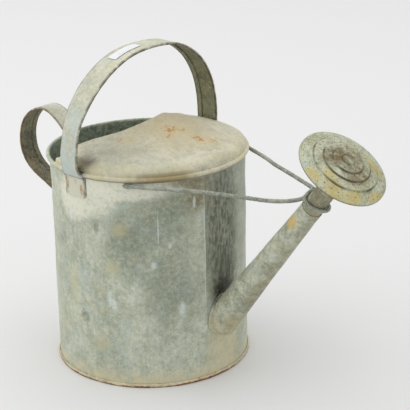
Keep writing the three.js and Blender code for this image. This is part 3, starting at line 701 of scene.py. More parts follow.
def coverHeightShift(x, y):
    shape = coverShape
    radius, turn = np.hypot(x, y), abs(np.degrees(np.arctan2(y, x)))
    out = radius / canSize["radius"]
    sag = smooth(out, 0.41, 0.91) * smooth(turn, 50, 95)
    deep, middle, spread = shape["farShoulder"]
    farDrop = shape["farDrop"] * sag + deep * smooth(out, 0.66,
        0.9) * np.exp(-((turn - middle) / spread) ** 2)
    nearDrop = shape["nearDrop"] * sag + shape["cornerDrop"] * smooth(out, 0.78, 0.93) * smooth(turn, 97, 106)
    drop = np.where(y > 0, farDrop, nearDrop)
    inside = 1 - smooth(radius, 106, 111.2)
    humps = 0
    for (cx, cy, size, high), sign in ((shape["crest"], 1), (shape["dent"], -1)):
        humps = humps + sign * high * np.exp(-((x - cx) ** 2 + (y - cy) ** 2) / size**2)
    plane = np.stack([x, y, 0 * x], -1)
    swell = shape["swell"] * ripple(plane, 55, 21) + 0.1 * ripple(plane, 18, 22)
    return inside * (humps - drop + swell * (1 - smooth(radius, 92, 106)))


def coverSkin(inset):
    shape = coverShape
    slope = (shape["peak"] - shape["shoulder"]) / (shape["bend"] - shape["edgeX"])
    round_ = arcPoints(shape["bend"], shape["rise"], shape["bendWide"] - inset, shape["shoulder"] - inset, 0,
        90, 10)
    along = np.linspace(0, 1, shape["bandRows"])[1:]
    radius = shape["bend"] - shape["runIn"] * along
    height = shape["rise"] + shape["shoulder"] - inset + (shape["bend"] - radius) * slope
    height = height - shape["sag"] * np.sin(np.pi * along)
    return np.vstack([round_, np.stack([radius, height], -1)])


def makeCover():
    shape = coverShape
    bead = arcPoints(*shape["bead"], -90, 62, 12)
    outside = np.vstack([shape["outerFoot"], bead, coverSkin(0)])
    inside = np.vstack([shape["innerFoot"], coverSkin(shape["thick"])])
    points, faces = turned(np.vstack([outside, inside[::-1]]), shape["sides"])
    points[..., 2] += coverHeightShift(points[..., 0], points[..., 1])
    cover = makeMesh("halfCover", [(points, faces)])
    corner = canSize["radius"] * np.array([math.cos(math.radians(shape["corner"])),
        math.sin(math.radians(shape["corner"]))])
    far = [(shape["edgeX"] + (corner[0] - shape["edgeX"]) * back, across * corner[1], 0) for across,
        back in shape["mouth"]]
    edge = threadPath([(x, -y, z) for x, y, z in far[:0:-1]] + far, 120)[:, :2]
    back, past, low, high = shape["mouthCut"]
    x, y = corner * past
    mouth = np.vstack([[(back, -y), (x, -y)], edge, [(x, y), (back, y)]])
    cutAway(cover, makeMesh("mouthCutter", [prism(mouth, low, high)]))
    turn = np.radians(np.linspace(shape["corner"] - 0.3, 360.3 - shape["corner"], 60))
    circle = np.stack([np.cos(turn), np.sin(turn)], -1)
    outer, inner, rimTop = shape["rimCut"]
    ring = np.vstack([outer * circle, inner * circle[::-1]])
    cutAway(cover, makeMesh("rimCutter", [prism(ring, shape["mouthCut"][2], rimTop)]))
    half, deep, wide = shape["legHalf"], shape["legIn"], shape["legOut"]
    # the near leg only needs the bead cut
    for low, high, top in ((-wide, -deep, shape["legTop"]), (deep, wide, 276)):
        plan = [(skew["x"] - half, low), (skew["x"] + half, low), (skew["x"] + half, high),
            (skew["x"] - half, high)]
        block, blockFaces = prism(plan, shape["legFoot"], top)
        cutAway(cover, makeMesh("legCutter", [(skewed(block, skew), blockFaces)]))
    return cover


coverLook = {
    "tones": {"Pale": paint(207, 204, 184), "Deep": paint(172, 168, 146), "Blue": paint(176, 182, 172),
    "Ochre": paint(200, 186, 144)},
    "beadColour": paint(204, 196, 158), "valleyShadeColour": paint(160, 166, 152), "rustColour": paint(172, 118, 60),
    "crownColour": paint(188, 174, 138),
    "rustSpots": [
        ((43, -9), (7, 7)), ((46, 0), (6, 5)), ((50, 8), (5, 4)), ((70, 9), (7, 6)), ((77, 22), (7, 6)),
        ((79, 12), (4, 4)),
        ((15, -56), (4, 3)), ((24, -50), (4, 3)), ((52, -16), (5, 4)),
    ],
}


def coverMaterial():
    material, tree, shader, where = startMaterial("coverZinc", 0.08)
    look = coverLook
    onWall = groupNode(tree, wallPlace, {"Vector": where})["Vector"]
    _, height, reach = xyzOf(tree, onWall)
    base = groupNode(tree, zincPatina, {"Vector": where, **look["tones"], "Contrast": 1.3, "Blueness": 0.45,
        "Ochreness": 0.5, "Scale": 0.7})
    colour = base["Color"]
    flat = scaled(tree, where, (1, 1, 0), (-canAxis[0], -canAxis[1], 0))
    # painted shade along the shallow valley on the near front, between the free edge and the bead
    nearValleyShade = onPatch(tree, flat, ((0.060, -0.074), (0.062, 0.03), 0.5, 0.35, 60.0))
    colour = mixed(tree, times(tree, nearValleyShade, 0.3), colour, look["valleyShadeColour"])
    crown = onPatch(tree, flat, ((0.030, 0.004), (0.05, 0.046), 0.7, 0.5, 60.0))
    colour = mixed(tree, times(tree, crown, 0.6), colour, look["crownColour"])
    # painted shade of the dent by the near leg, darkened further by dirt
    dentShadeAndDirt = onPatch(tree, flat, ((0.009, -0.103), (0.013, 0.010), 0.7, 0.4, 90.0))
    colour = mixed(tree, times(tree, dentShadeAndDirt, 0.9), colour, paint(76, 68, 50))
    rim = times(tree, between(tree, reach, 0.094, 0.108),
        between(tree, noiseOf(tree, where, 30, 4, 0.6), 0.3, 0.62))
    colour = mixed(tree, times(tree, rim, 0.45), colour, look["beadColour"])
    edge = times(tree, between(tree, reach, 0.1096, 0.1112),
        onPatch(tree, flat, ((0.09, -0.062), (0.03, 0.03), 0.6, 0.7, 90.0)))
    colour = mixed(tree, times(tree, edge, 0.75), colour, paint(140, 120, 74))
    crumbs = between(tree, noiseOf(tree, where, 230, 5, 0.72), 0.47, 0.6)
    for (x, y), (wide, deep) in look["rustSpots"]:
        halo = onPatch(tree, flat, ((x * mm, y * mm), (wide * mm * 1.6, deep * mm * 2.2), 0.8, 0.6, 110.0))
        colour = mixed(tree, times(tree, halo, 0.3), colour, look["tones"]["Ochre"])
    for (x, y), (wide, deep) in look["rustSpots"]:
        spot = onPatch(tree, flat, ((x * mm, y * mm), (wide * mm, deep * mm), 0.5, 0.4, 160.0))
        colour = mixed(tree, times(tree, times(tree, spot, crumbs), 0.85), colour, look["rustColour"])
    # painted shadow under the rolled bead, over the skirt where the cover meets the wall
    beadShadow = between(tree, height, 0.2436, 0.2415)
    colour = mixed(tree, times(tree, beadShadow, 0.55), colour, paint(112, 106, 84))
    endMaterial(tree, shader, colour, base["Roughness"], base["Height"], 0.4)
    return material


# painted shade: the cover's underside and inner faces take the darker inside tones
undersideShade = plainZinc("coverUnderside", {
    "Pale": wallLook["insideShadePale"], "Deep": wallLook["insideShadeDeep"], "Blue": paint(112, 126, 116),
    "Ochre": paint(150, 142, 108)})
cover = makeCover()
place(cover, "top_cover", "cover_zinc", coverMaterial(), undersideShade)
for face in cover.data.polygons:
    away = face.center - Vector(canAxis)
    inward = away.x * face.normal.x + away.y * face.normal.y < 0
    face.material_index = 1 if face.normal.z < -0.1 and math.hypot(away.x,
        away.y) < 0.1105 or inward and face.normal.z < 0.1 else 0


# Straps: sheet with both edges hemmed over to the inside
def strapSection(width, hem, fold, sheet=1.0):
    half = width / 2
    corner = arcPoints(half - 1.1, 1.1, 1.1, 1.1, -90, 0, 5)
    side = [(half, hem - 0.7), (half - 0.25, hem - 0.15), (half - 0.7, hem), (half - fold + 0.2, hem),
            (half - fold, hem - 0.3),
            (half - fold, hem - 0.75), (half - 2.2, hem - 0.8), (half - 2.5, (hem + 0.2) / 2),
            (half - 2.2, sheet), (half * 0.4, sheet)]
    face = [(half * share, 0) for share in (0, 0.3, 0.6, 0.85)]
    right = np.vstack([face, corner, side])
    left = right[1:] * [-1, 1]
    return np.vstack([right, [(0, sheet)], left[::-1]])


def squareTo(path, width):                  # the path's direction, and the width turned square to it
    way = np.gradient(path, axis=0)
    way /= np.linalg.norm(way, axis=1)[:, None]
    width = np.broadcast_to(np.asarray(width, float), path.shape)
    width = width - (width * way).sum(1)[:, None] * way
    return way, width / np.linalg.norm(width, axis=1)[:, None]


def sweepStrap(path, width, section, wobble, seed):
    way, width = squareTo(path, width)
    inward = np.cross(way, width)
    points = path[:, None] + section[None, :, :1] * width[:, None] + section[None, :, 1:] * inward[:, None]
    edge = np.abs(section[:, 0]) / np.abs(section[:, 0]).max()
    points = points + (wobble * np.clip(ripple(points, 32, seed) + 1.2, 0, 3) * 0.6)[..., None] * inward[:,
        None]
    points = points - (wobble * np.clip(ripple(points, 12, seed + 1), 0,
        2) * (edge ** 6) * np.sign(section[:, 0]))[..., None] * width[:, None]
    return points, gridFaces(len(path), len(section), ringColumns=True, caps=True)


archShape = {
    "width": 29.5, "hem": 2.6, "fold": 6.5, "x": -5.4, "reach": 112.0, "foot": 238.5, "rise": 123.84,
    "steps": 260, "wobble": 0.14,
    "outline": [                            # [share of the reach across, share of the rise, twist in degrees]
        (-1, 0, 0), (-1.036, 0.06, -6), (-1.057, 0.12, -10), (-1.0625, 0.185, -10), (-1.055, 0.252, -10.5),
        (-1.036, 0.351, -12), (-0.998, 0.464, -10), (-0.943, 0.556, -7), (-0.868, 0.643, -4),
        (-0.754, 0.75, -1),
        (-0.56, 0.872, 2), (-0.318, 0.965, 3), (-0.073, 0.999, 3), (0.181, 0.996, 0), (0.42, 0.962, -1),
        (0.652, 0.852, 0.5), (0.812, 0.716, 1.5), (0.929, 0.529, 1), (0.9875, 0.325, 0), (0.999, 0.14, 0),
        (1, 0, 0),
    ],
    "tongueLow": 217.5, "tongueHigh": 245.0, "tongueSheet": 1.0,
}


# points along the strap's outer face, and the way its width lies there
def archLine(count):
    shape = archShape
    knots = [(shape["x"], y * shape["reach"], shape["foot"] + z * shape["rise"], twist) for y, z,
        twist in shape["outline"]]
    line = threadPath(knots, count)
    turn = np.radians(line[:, 3])
    return line[:, :3], np.stack([np.cos(turn), np.sin(turn), 0 * turn], -1)


def tongue(side):                           # the strap's flat end, soldered on the wall
    shape = archShape
    half = math.degrees(shape["width"] / 2 / canSize["radius"])
    middle = side * (90 + math.degrees(math.asin(-shape["x"] / canSize["radius"]))) + skew["degrees"]
    angles = np.linspace(-1, 1, 26)
    rows = np.linspace(0, 1, 20)
    round_ = np.clip((np.abs(angles) - 0.86) / 0.14, 0, 1) ** 2 * 1.8
    low = shape["tongueLow"] + round_
    level = low[None] + (shape["tongueHigh"] - low[None]) * rows[:, None]
    turn = np.radians(middle + half * angles)[None].repeat(len(rows), 0)
    inner = canSize["radius"] + canSize["gap"]
    spot = np.stack([inner * np.cos(turn), inner * np.sin(turn), level], -1)
    lift = 0.12 * np.clip(ripple(spot, 16, 31 + side) - 1, -2.5, 0)
    skins = []
    for reach in (inner + shape["tongueSheet"] + lift, inner + 0 * lift):
        skins.append(np.stack([reach * np.cos(turn), reach * np.sin(turn), level], -1))
    loop = np.concatenate([skins[0], skins[1][:, ::-1]], 1)
    return loop, gridFaces(len(rows), loop.shape[1], ringColumns=True, caps=True)


def makeArch():
    section = strapSection(archShape["width"], archShape["hem"], archShape["fold"])
    path, width = archLine(archShape["steps"])
    points, faces = sweepStrap(path, width, section, archShape["wobble"], 41)
    return makeMesh("carryHandle", [(skewed(points, skew), faces), tongue(-1), tongue(1)], 30)


def strapMaterial(name, tones, hemShadeTone, acrossFrom, acrossWay, half, lowTone=None, rusts=()):
    material, tree, shader, where = startMaterial(name)
    base = groupNode(tree, zincPatina, {"Vector": where, **tones, "Contrast": 1.15, "Blueness": 0.5,
        "Ochreness": 0.35})
    colour = base["Color"]
    away = vectorMath(tree, "SUBTRACT", where, acrossFrom)
    across = vectorMath(tree, "DOT_PRODUCT", away, acrossWay)
    _, _, height = xyzOf(tree, where)
    if lowTone:
        share = between(tree, height, 0.335, 0.275)
        ragged = between(tree, noiseOf(tree, where, 40, 4, 0.6), 0.3, 0.62)
        colour = mixed(tree, times(tree, share, ragged), colour, lowTone)
        low = between(tree, height, 0.2415, 0.2392)
        colour = mixed(tree, times(tree, low, 0.85), colour, paint(206, 203, 183))
        fold = between(tree, calc(tree, "ABSOLUTE", calc(tree, "SUBTRACT", height, 0.2402)), 0.0012, 0.0003)
        colour = mixed(tree, times(tree, times(tree, fold, ragged), 0.8), colour, paint(92, 84, 64))
    # painted shade along both hemmed edges, where the hem's side face and its lip's shadow show; rust-brown in tone on
    # the rear handle
    edge = between(tree, calc(tree, "ABSOLUTE", across), half - 0.0028, half - 0.0006)
    torn = between(tree, noiseOf(tree, where, 120, 4, 0.65), 0.3, 0.6)
    colour = mixed(tree, times(tree, times(tree, edge, torn), 0.85), colour, hemShadeTone)
    if rusts:
        onWall = flatten(tree, groupNode(tree, wallPlace, {"Vector": where})["Vector"])
        crumbs = between(tree, noiseOf(tree, where, 260, 5, 0.7), 0.4, 0.56)
        for spot in rusts:
            share = times(tree, onPatch(tree, onWall, spot), crumbs)
            colour = mixed(tree, times(tree, share, 0.8), colour, paint(150, 118, 62))
    endMaterial(tree, shader, colour, base["Roughness"], base["Height"], 0.3)
    return material


handleTones = {"Pale": paint(208, 206, 186), "Deep": paint(166, 168, 148), "Blue": paint(178, 192, 190),
    "Ochre": paint(200, 190, 150)}
# painted shade: a darker copy of the handle zinc for the arch's inner faces
innerShadeTones = {"Pale": paint(148, 146, 114), "Deep": paint(94, 94, 70), "Blue": paint(112, 122, 108),
    "Ochre": paint(156, 138, 92)}
# painted shade: a much darker copy of the handle zinc for the rear handle's inner faces
rearInnerShadeTones = {"Pale": paint(140, 134, 104), "Deep": paint(60, 60, 50), "Blue": paint(78, 88, 86),
    "Ochre": paint(140, 118, 74)}
skewWay = (math.cos(math.radians(skew["degrees"])), math.sin(math.radians(skew["degrees"])), 0)
archFrom = (canAxis[0] + archShape["x"] * mm, canAxis[1], 0)
tongueRust = [
    (roundBy(-95.8, 229), (0.0022, 0.010), 0.6, 0.6, 240.0),
    (roundBy(-84.4, 227), (0.0022, 0.006), 0.6, 0.6, 240.0),
    (roundBy(-89.2, 234.5), (0.0016, 0.0022), 0.5, 0.5, 240.0),
    (roundBy(96, 226), (0.009, 0.008), 0.5, 0.5, 160.0),
]
archOuter = strapMaterial("strapOuter", handleTones, paint(112, 104, 84), archFrom, skewWay, 0.01475,
    paint(184, 196, 192), tongueRust)
archInner = strapMaterial("strapInner", innerShadeTones, paint(70, 58, 44), archFrom, skewWay, 0.01475)


arch = makeArch()
place(arch, "top_handle", "handle_zinc", archOuter, archInner)
archHeart = Vector((canAxis[0] + archShape["x"] * mm, canAxis[1], 0.262))
# the inner faces under the arch take the darker, painted-shade material
for face in arch.data.polygons:
    away = face.center - archHeart
    inward = away.y * face.normal.y + away.z * face.normal.z < 0
    face.material_index = 1 if inward and face.center.z > 0.246 else 0

rearShape = {
    "width": 25.5, "hem": 2.3, "fold": 6.0, "steps": 240, "wobble": 0.16,
    "wall": -111.3, "reach": 99.7, "foot": 136.5, "rise": 126.5, "tabTop": 224.0, "tab": 22.0,
    # [share of the reach behind the wall, share of the rise over the lower tab]
    "loop": [
        (0.067, 0.772), (0.1675, 0.8435), (0.298, 0.929), (0.448, 0.987), (0.574, 1), (0.719, 0.965),
        (0.85, 0.893),
        (0.952, 0.787), (1, 0.66), (0.988, 0.514), (0.91, 0.402), (0.784, 0.325), (0.589, 0.255),
        (0.378, 0.178),
        (0.1775, 0.096), (0.057, 0.038),
    ],
}


def makeRear():
    shape = rearShape
    section = strapSection(shape["width"], shape["hem"], shape["fold"])
    tabs = [(0, shape["tabTop"] - shape["tab"]), (0, shape["tabTop"]), (0, shape["foot"]),
        (0, shape["foot"] - shape["tab"])]
    loop = [(shape["reach"] * out, shape["foot"] + shape["rise"] * up) for out, up in shape["loop"]]
    path = threadPath([(shape["wall"] - out, 0, z) for out, z in tabs[:2] + loop + tabs[2:]], shape["steps"])
    points, faces = sweepStrap(path, (0, 1, 0), section, shape["wobble"], 51)
    return makeMesh("tipHandle", [(points, faces)], 30)


rearFrom = (canAxis[0], canAxis[1], 0)
rearOuter = strapMaterial("rearOuter", handleTones, paint(120, 92, 62), rearFrom, (0, 1, 0), 0.01275)
rearInner = strapMaterial("rearInner", rearInnerShadeTones, paint(104, 74, 50), rearFrom, (0, 1, 0), 0.01275)
rear = makeRear()
place(rear, "rear_handle", "handle_zinc", rearOuter, rearInner)
rearHeart = Vector((canAxis[0] - 0.158, canAxis[1], 0.212))
# the rear handle's inner faces take the darker, painted-shade material
for face in rear.data.polygons:
    away = face.center - rearHeart
    inward = face.normal.x > 0 if away.x > 0.0455 else away.x * face.normal.x + away.z * face.normal.z < 0
    face.material_index = 1 if inward else 0


# Spout: a rolled cone, fitted to the wall with a narrow flange, its heel rounded
spoutShape = {
    "root": 18.2, "neck": 11.9, "taperEnd": 198.0, "length": 209.8, "rows": 150, "sides": 112,
    "heel": 49.0, "flange": 2.4, "flangeThick": 1.3, "swell": 0.16,
}
spoutTilt = math.radians(canSize["spoutAngle"])
spoutWay = np.array([math.cos(spoutTilt), 0, math.sin(spoutTilt)])
spoutUp = np.array([-math.sin(spoutTilt), 0, math.cos(spoutTilt)])
spoutStart = np.array([canSize["radius"], 0, canSize["spoutFoot"]])


def conePoint(along, turn, offset):
    shape = spoutShape
    radius = np.maximum(shape["neck"],
        shape["root"] - (shape["root"] - shape["neck"]) / shape["taperEnd"] * along) + offset
    return (spoutStart + along[..., None] * spoutWay
            + (radius * np.cos(turn))[..., None] * spoutUp + (radius * np.sin(turn))[...,
            None] * np.array([0, 1.0, 0]))


def onHeel(points, offset):                 # keeps the root inside an upright slot with a round foot
    shape = spoutShape
    half = shape["root"] + offset
    middle = shape["heel"] + shape["flange"] + shape["root"]
    low = points[..., 2] < middle
    far = np.hypot(points[..., 1], points[..., 2] - middle)
    pull = np.where(low & (far > half), half / np.maximum(far, 1e-6), 1)
    out = points.copy()
    out[..., 1] *= pull
    out[..., 2] = middle + (points[..., 2] - middle) * pull
    return out


# rows of points from the wall to the end, at one offset from the cone
def spoutSkin(offset, wallReach, rows, end):
    sides = spoutShape["sides"]
    turn = np.linspace(0, 2 * math.pi, sides, endpoint=False)
    search = np.linspace(-58, 40, 500)
    tried = onHeel(conePoint(search[:, None], turn[None], offset), offset)
    outside = np.hypot(tried[..., 0], tried[..., 1]) >= wallReach
    outside &= tried[..., 0] > 0
    first = np.argmax(outside, axis=0)
    start = search[np.maximum(first, 1)]
    share = np.linspace(0, 1, rows) ** 1.15
    along = start[None] + (end - start[None]) * share[:, None]
    return onHeel(conePoint(along, turn[None].repeat(rows, 0), offset), offset)


def makeSpout():
    shape = spoutShape
    wallReach = canSize["radius"] + canSize["gap"]
    end = shape["length"]
    lip = [spoutSkin(shape["flange"], wallReach, 2, end)[:1],
           spoutSkin(shape["flange"], wallReach + 0.9, 2, end)[:1],
           spoutSkin(shape["flange"] * 0.7, wallReach + shape["flangeThick"], 2, end)[:1]]
    outer = spoutSkin(0.0, wallReach + shape["flangeThick"] + 0.2, shape["rows"], end)
    swell = shape["swell"] * ripple(outer, 42, 61) + 0.05 * ripple(outer, 12, 62)
    fade = np.sin(np.linspace(0, math.pi, shape["rows"]))[:, None] ** 0.5
    centre = spoutStart + ((outer - spoutStart) @ spoutWay)[..., None] * spoutWay
    out = outer - centre
    out /= np.linalg.norm(out, axis=-1)[..., None]
    outer = outer - (np.clip(swell + 0.2, 0, 1) * fade)[..., None] * out
    inner = spoutSkin(-0.9, wallReach, 60, end)[::-1]
    rows = np.concatenate(lip + [outer, inner], 0)
    faces = gridFaces(len(rows), shape["sides"], ringRows=True, ringColumns=True)
    return makeMesh("spoutTube", [(rows, faces)])


def spoutMaterial():
    material, tree, shader, where = startMaterial("spoutZinc")
    base = groupNode(tree, zincPatina, {
        "Vector": where, "Pale": paint(194, 197, 178), "Deep": paint(140, 142, 122),
        "Blue": paint(170, 184, 180),
        "Ochre": paint(186, 172, 124), "Contrast": 1.35, "Blueness": 0.5, "Ochreness": 0.5, "Scale": 1.2})
    colour = base["Color"]
    away = vectorMath(tree, "SUBTRACT", where, tuple(spoutStart * mm + canAxis))
    along = vectorMath(tree, "DOT_PRODUCT", away, tuple(spoutWay))
    above = vectorMath(tree, "DOT_PRODUCT", away, tuple(spoutUp))
    _, side, height = xyzOf(tree, where)
    under = between(tree, above, -0.004, -0.013)
    under = times(tree, under, between(tree, noiseOf(tree, where, 70, 4, 0.6), 0.3, 0.65))
    colour = mixed(tree, times(tree, under, 0.55), colour, paint(134, 124, 88))
    smut = between(tree, noiseOf(tree, scaled(tree, where, (1, 1, 1), (4, 2, 6)), 60, 5, 0.65), 0.55, 0.7)
    colour = mixed(tree, times(tree, smut, 0.4), colour, paint(112, 108, 84))
    root = between(tree, height, 0.092, 0.058)
    root = times(tree, root, between(tree, noiseOf(tree, where, 90, 5, 0.65), 0.3, 0.6))
    colour = mixed(tree, times(tree, root, 0.6), colour, paint(206, 194, 156))
    spot = addNode(tree, "ShaderNodeCombineXYZ", {0: along, 1: above, 2: 0.0}).outputs[0]
    yellow = onPatch(tree, spot, ((0.186, 0.004), (0.008, 0.006), 0.6, 0.5, 150.0))
    colour = mixed(tree, times(tree, yellow, 0.7), colour, paint(206, 178, 100))
    # painted shadow on the spout's top next to the wall, in the crevice where it meets the body
    creviceShadow = times(tree, between(tree, above, 0.012, 0.017), between(tree, along, 0.032, 0.018))
    colour = mixed(tree, times(tree, creviceShadow, 0.7), colour, paint(58, 56, 44))
    endMaterial(tree, shader, colour, base["Roughness"], base["Height"], 0.35)
    return material


place(makeSpout(), "spout", "weathered_zinc", spoutMaterial())


# Rose: a short stem that plugs the spout, a shallow cup and a pierced, ringed face
roseShape = {
    "stem": 10.8, "plug": 12.0, "stemLength": 50.0, "radius": 48.3, "depth": 26.0, "sides": 192, "pin": 0.62,
    "swell": 0.22,
    "terraces": [
        (48.3, 0), (48.2, 0.55), (47.5, 1.15), (44, 2.7), (40, 4.2), (36.4, 5.15), (35.6, 5.2), (35.25, 5.75),
        (34.9, 6.6),
        (34.2, 6.95), (31, 7.7), (27, 8.2), (26.0, 8.25), (25.7, 8.8), (25.4, 9.55), (24.8, 9.9), (21, 10.2),
        (18, 10.4),
        (17.0, 10.4), (16.7, 10.9), (16.4, 11.6), (15.8, 11.9), (12, 12.1), (8.2, 12.1), (6.9, 12.25),
        (6.1, 12.9),
        (3, 13.6), (0, 13.8),
    ],
    "rings": [(8, 10), (14, 13.6), (16, 18.8), (20, 22.4), (22, 28.4), (26, 32), (28, 38), (30, 41.6),
    (34, 45)],
}
roseTilt = math.radians(canSize["roseAngle"])
roseWay = np.array([math.cos(roseTilt), 0, math.sin(roseTilt)])
stemStart = spoutShape["length"] - roseShape["plug"]
roseJoint = spoutStart + (stemStart + roseShape["stemLength"] + 1) * spoutWay
roseAcross = np.cross((0, 1.0, 0), roseWay)


def makeStem():
    shape = roseShape
    outside = [(shape["stem"] + 0.05 * math.sin(k * 2.1), z) for k,
        z in enumerate(np.linspace(0, shape["stemLength"], 40))]
    inside = [(shape["stem"] - 0.8, z) for z in (shape["stemLength"], shape["stemLength"] / 2, 0)]
    return makeMesh("roseStem", [turned(outside + inside, 96, spoutStart + stemStart * spoutWay, spoutWay)])


def makeRoseBack():
    shape = roseShape
    neck, depth, radius = shape["stem"] + 0.8, shape["depth"], shape["radius"]
    rim = radius - 1.1
    outside = [(neck + 0.8, -6), (neck + 0.8, -0.5), (neck + 4, 3), (radius * 0.55, depth * 0.5),
               (radius * 0.8, depth * 0.79),
               (rim, depth - 1.3), (rim, depth - 0.4)]
    inside = [(rim - 0.8, depth - 0.4), (radius * 0.8 - 0.8, depth * 0.79 + 0.8),
              (radius * 0.55 - 0.8, depth * 0.5 + 0.8),
              (neck + 3.2, 4.2), (neck, 0.8), (neck, -6)]
    outside, inside = evenSteps(np.array(outside), 40), evenSteps(np.array(inside), 30)
    points, faces = turned(np.vstack([outside, inside]), shape["sides"], roseJoint, roseWay)
    return makeMesh("roseBack", [(points, faces)])


def makeRoseFace():
    shape = roseShape
    outside = np.array(shape["terraces"], float) + [0, shape["depth"]]
    inside = np.array([(max(0, r - 0.5), h + shape["depth"] - 0.8) for r, h in shape["terraces"] if h > 2])
    rimIn = shape["radius"] - 0.8
    outside, inside = evenSteps(outside, 110), evenSteps(inside[::-1], 36)
    skirt = [(rimIn, shape["depth"] + 0.2), (rimIn, shape["depth"] - 1.3),
        (shape["radius"], shape["depth"] - 1.3)]
    points, faces = turned(np.vstack([outside, inside, skirt]), shape["sides"], roseJoint, roseWay)
    fromAxis = points - roseJoint
    reach = np.linalg.norm(fromAxis - (fromAxis @ roseWay)[..., None] * roseWay, axis=-1)
    swell = shape["swell"] * ripple(points, 26, 71) + 0.1 * ripple(points, 9, 72)
    points = points + (swell * (1 - smooth(reach, 42, 47)))[..., None] * roseWay
    face = makeMesh("roseFace", [(points, faces)], 30)
    pins = []
    rng = np.random.RandomState(5)
    for ring, (count, radius) in enumerate(shape["rings"]):
        for k in range(count):
            if rng.rand() < 0.3:            # many of the holes are choked
                continue
            turn = 2 * math.pi * (k + 0.5 * (ring % 2) + rng.uniform(-0.06, 0.06)) / count
            spot = roseJoint + radius * (math.cos(turn) * roseAcross + math.sin(turn) * np.array([0, 1.0, 0]))
            size = shape["pin"] * rng.uniform(0.8, 1.15)
            pins.append(turned([(0, 20), (size, 20), (size, 44), (0, 44)], 7, spot, roseWay))
    cutAway(face, makeMesh("pinCutter", pins))
    return face


roseLook = {
    "tones": {"Pale": paint(192, 194, 170), "Deep": paint(136, 138, 108), "Blue": paint(170, 186, 172),
    "Ochre": paint(176, 166, 110)},
    "browns": [
        ((0.004, -0.002), (0.017, 0.018), 0.4, 0.3, 110.0),
        ((-0.012, -0.012), (0.014, 0.010), 0.5, 0.5, 110.0),
        ((-0.004, 0.022), (0.016, 0.007), 0.5, 0.5, 110.0),
    ],
    "ochres": [                             # [across to the far side, down the face]
        ((-0.036, 0.020), (0.008, 0.012), 0.6, 0.7, 140.0),
        ((-0.022, 0.036), (0.011, 0.007), 0.6, 0.7, 140.0),
        ((-0.044, -0.004), (0.004, 0.010), 0.6, 0.7, 140.0),
        ((0.004, 0.044), (0.010, 0.004), 0.6, 0.7, 140.0),
        ((-0.030, 0.004), (0.005, 0.006), 0.7, 0.8, 160.0), ((0.030, 0.014), (0.006, 0.012), 0.9, 0.8, 130.0),
    ],
    "grooves": [0.0358, 0.0259, 0.0169, 0.0072],
}


def roseMaterial():
    material, tree, shader, where = startMaterial("rosePatina", 0.06)
    look = roseLook
    away = vectorMath(tree, "SUBTRACT", where, tuple(roseJoint * mm + canAxis))
    up = vectorMath(tree, "DOT_PRODUCT", away, tuple(roseAcross))
    _, side, _ = xyzOf(tree, away)
    forward = vectorMath(tree, "DOT_PRODUCT", away, tuple(roseWay))
    face = addNode(tree, "ShaderNodeCombineXYZ", {0: side, 1: up, 2: 0.0}).outputs[0]
    reach = vectorMath(tree, "LENGTH", face)
    base = groupNode(tree, zincPatina, {"Vector": where, **look["tones"], "Contrast": 1.5, "Blueness": 0.6,
                                        "Ochreness": 0.4,
                                        "Scale": 1.5})
    colour = base["Color"]
    colour = layer(tree, colour, face, look["ochres"], paint(190, 170, 92), 0.75)
    for spot in look["browns"]:
        share = times(tree, onPatch(tree, face, spot), between(tree, noiseOf(tree, where, 120, 5, 0.65), 0.3,
            0.6))
        colour = mixed(tree, times(tree, share, 0.85), colour, paint(110, 94, 58))
    ragged = between(tree, noiseOf(tree, face, 45, 4, 0.6), 0.32, 0.6)
    for groove in look["grooves"]:
        line = between(tree, calc(tree, "ABSOLUTE", calc(tree, "SUBTRACT", reach, groove)), 0.0013, 0.0004)
        colour = mixed(tree, times(tree, times(tree, line, ragged), 0.85), colour, paint(64, 58, 42))
    turning = calc(tree, "ABSOLUTE", calc(tree, "SINE", times(tree, reach, 2200.0)))
    lathe = times(tree, between(tree, turning, 0.35, 0.1), between(tree, reach, 0.02, 0.014))
    colour = mixed(tree, times(tree, times(tree, lathe, ragged), 0.6), colour, paint(70, 60, 36))
    rim = between(tree, forward, 0.0262, 0.0252)
    colour = mixed(tree, times(tree, rim, 0.8), colour, paint(74, 64, 46))
    endMaterial(tree, shader, colour, base["Roughness"], base["Height"], 0.45)
    return material


dullTones = {"Pale": paint(168, 164, 138), "Deep": paint(112, 108, 84), "Blue": paint(146, 156, 146),
    "Ochre": paint(170, 150, 102)}


def stemMaterial():
    material, tree, shader, where = startMaterial("stemZinc")
    base = groupNode(tree, zincPatina, {"Vector": where, **dullTones, "Contrast": 1.2, "Blueness": 0.4,
        "Ochreness": 0.5})
    away = vectorMath(tree, "DOT_PRODUCT", where, tuple(spoutWay))
    rings = addNode(tree, "ShaderNodeCombineXYZ", {0: times(tree, away, 900.0), 1: 0.0, 2: 0.0}).outputs[0]
    lines = noiseOf(tree, rings, 1.0, 2, 0.5)
    colour = mixed(tree, between(tree, lines, 0.45, 0.3), base["Color"], paint(96, 92, 72))
    endMaterial(tree, shader, colour, base["Roughness"], lines, 0.35)
    return material


place(makeStem(), "rose_stem", "rusty_zinc", stemMaterial())
place(makeRoseBack(), "rose_back", "rusty_zinc", plainZinc("roseBackZinc", dullTones, 1.2, 0.4, 0.5, 0.2))
place(makeRoseFace(), "rose_face", "rose_patina", roseMaterial())


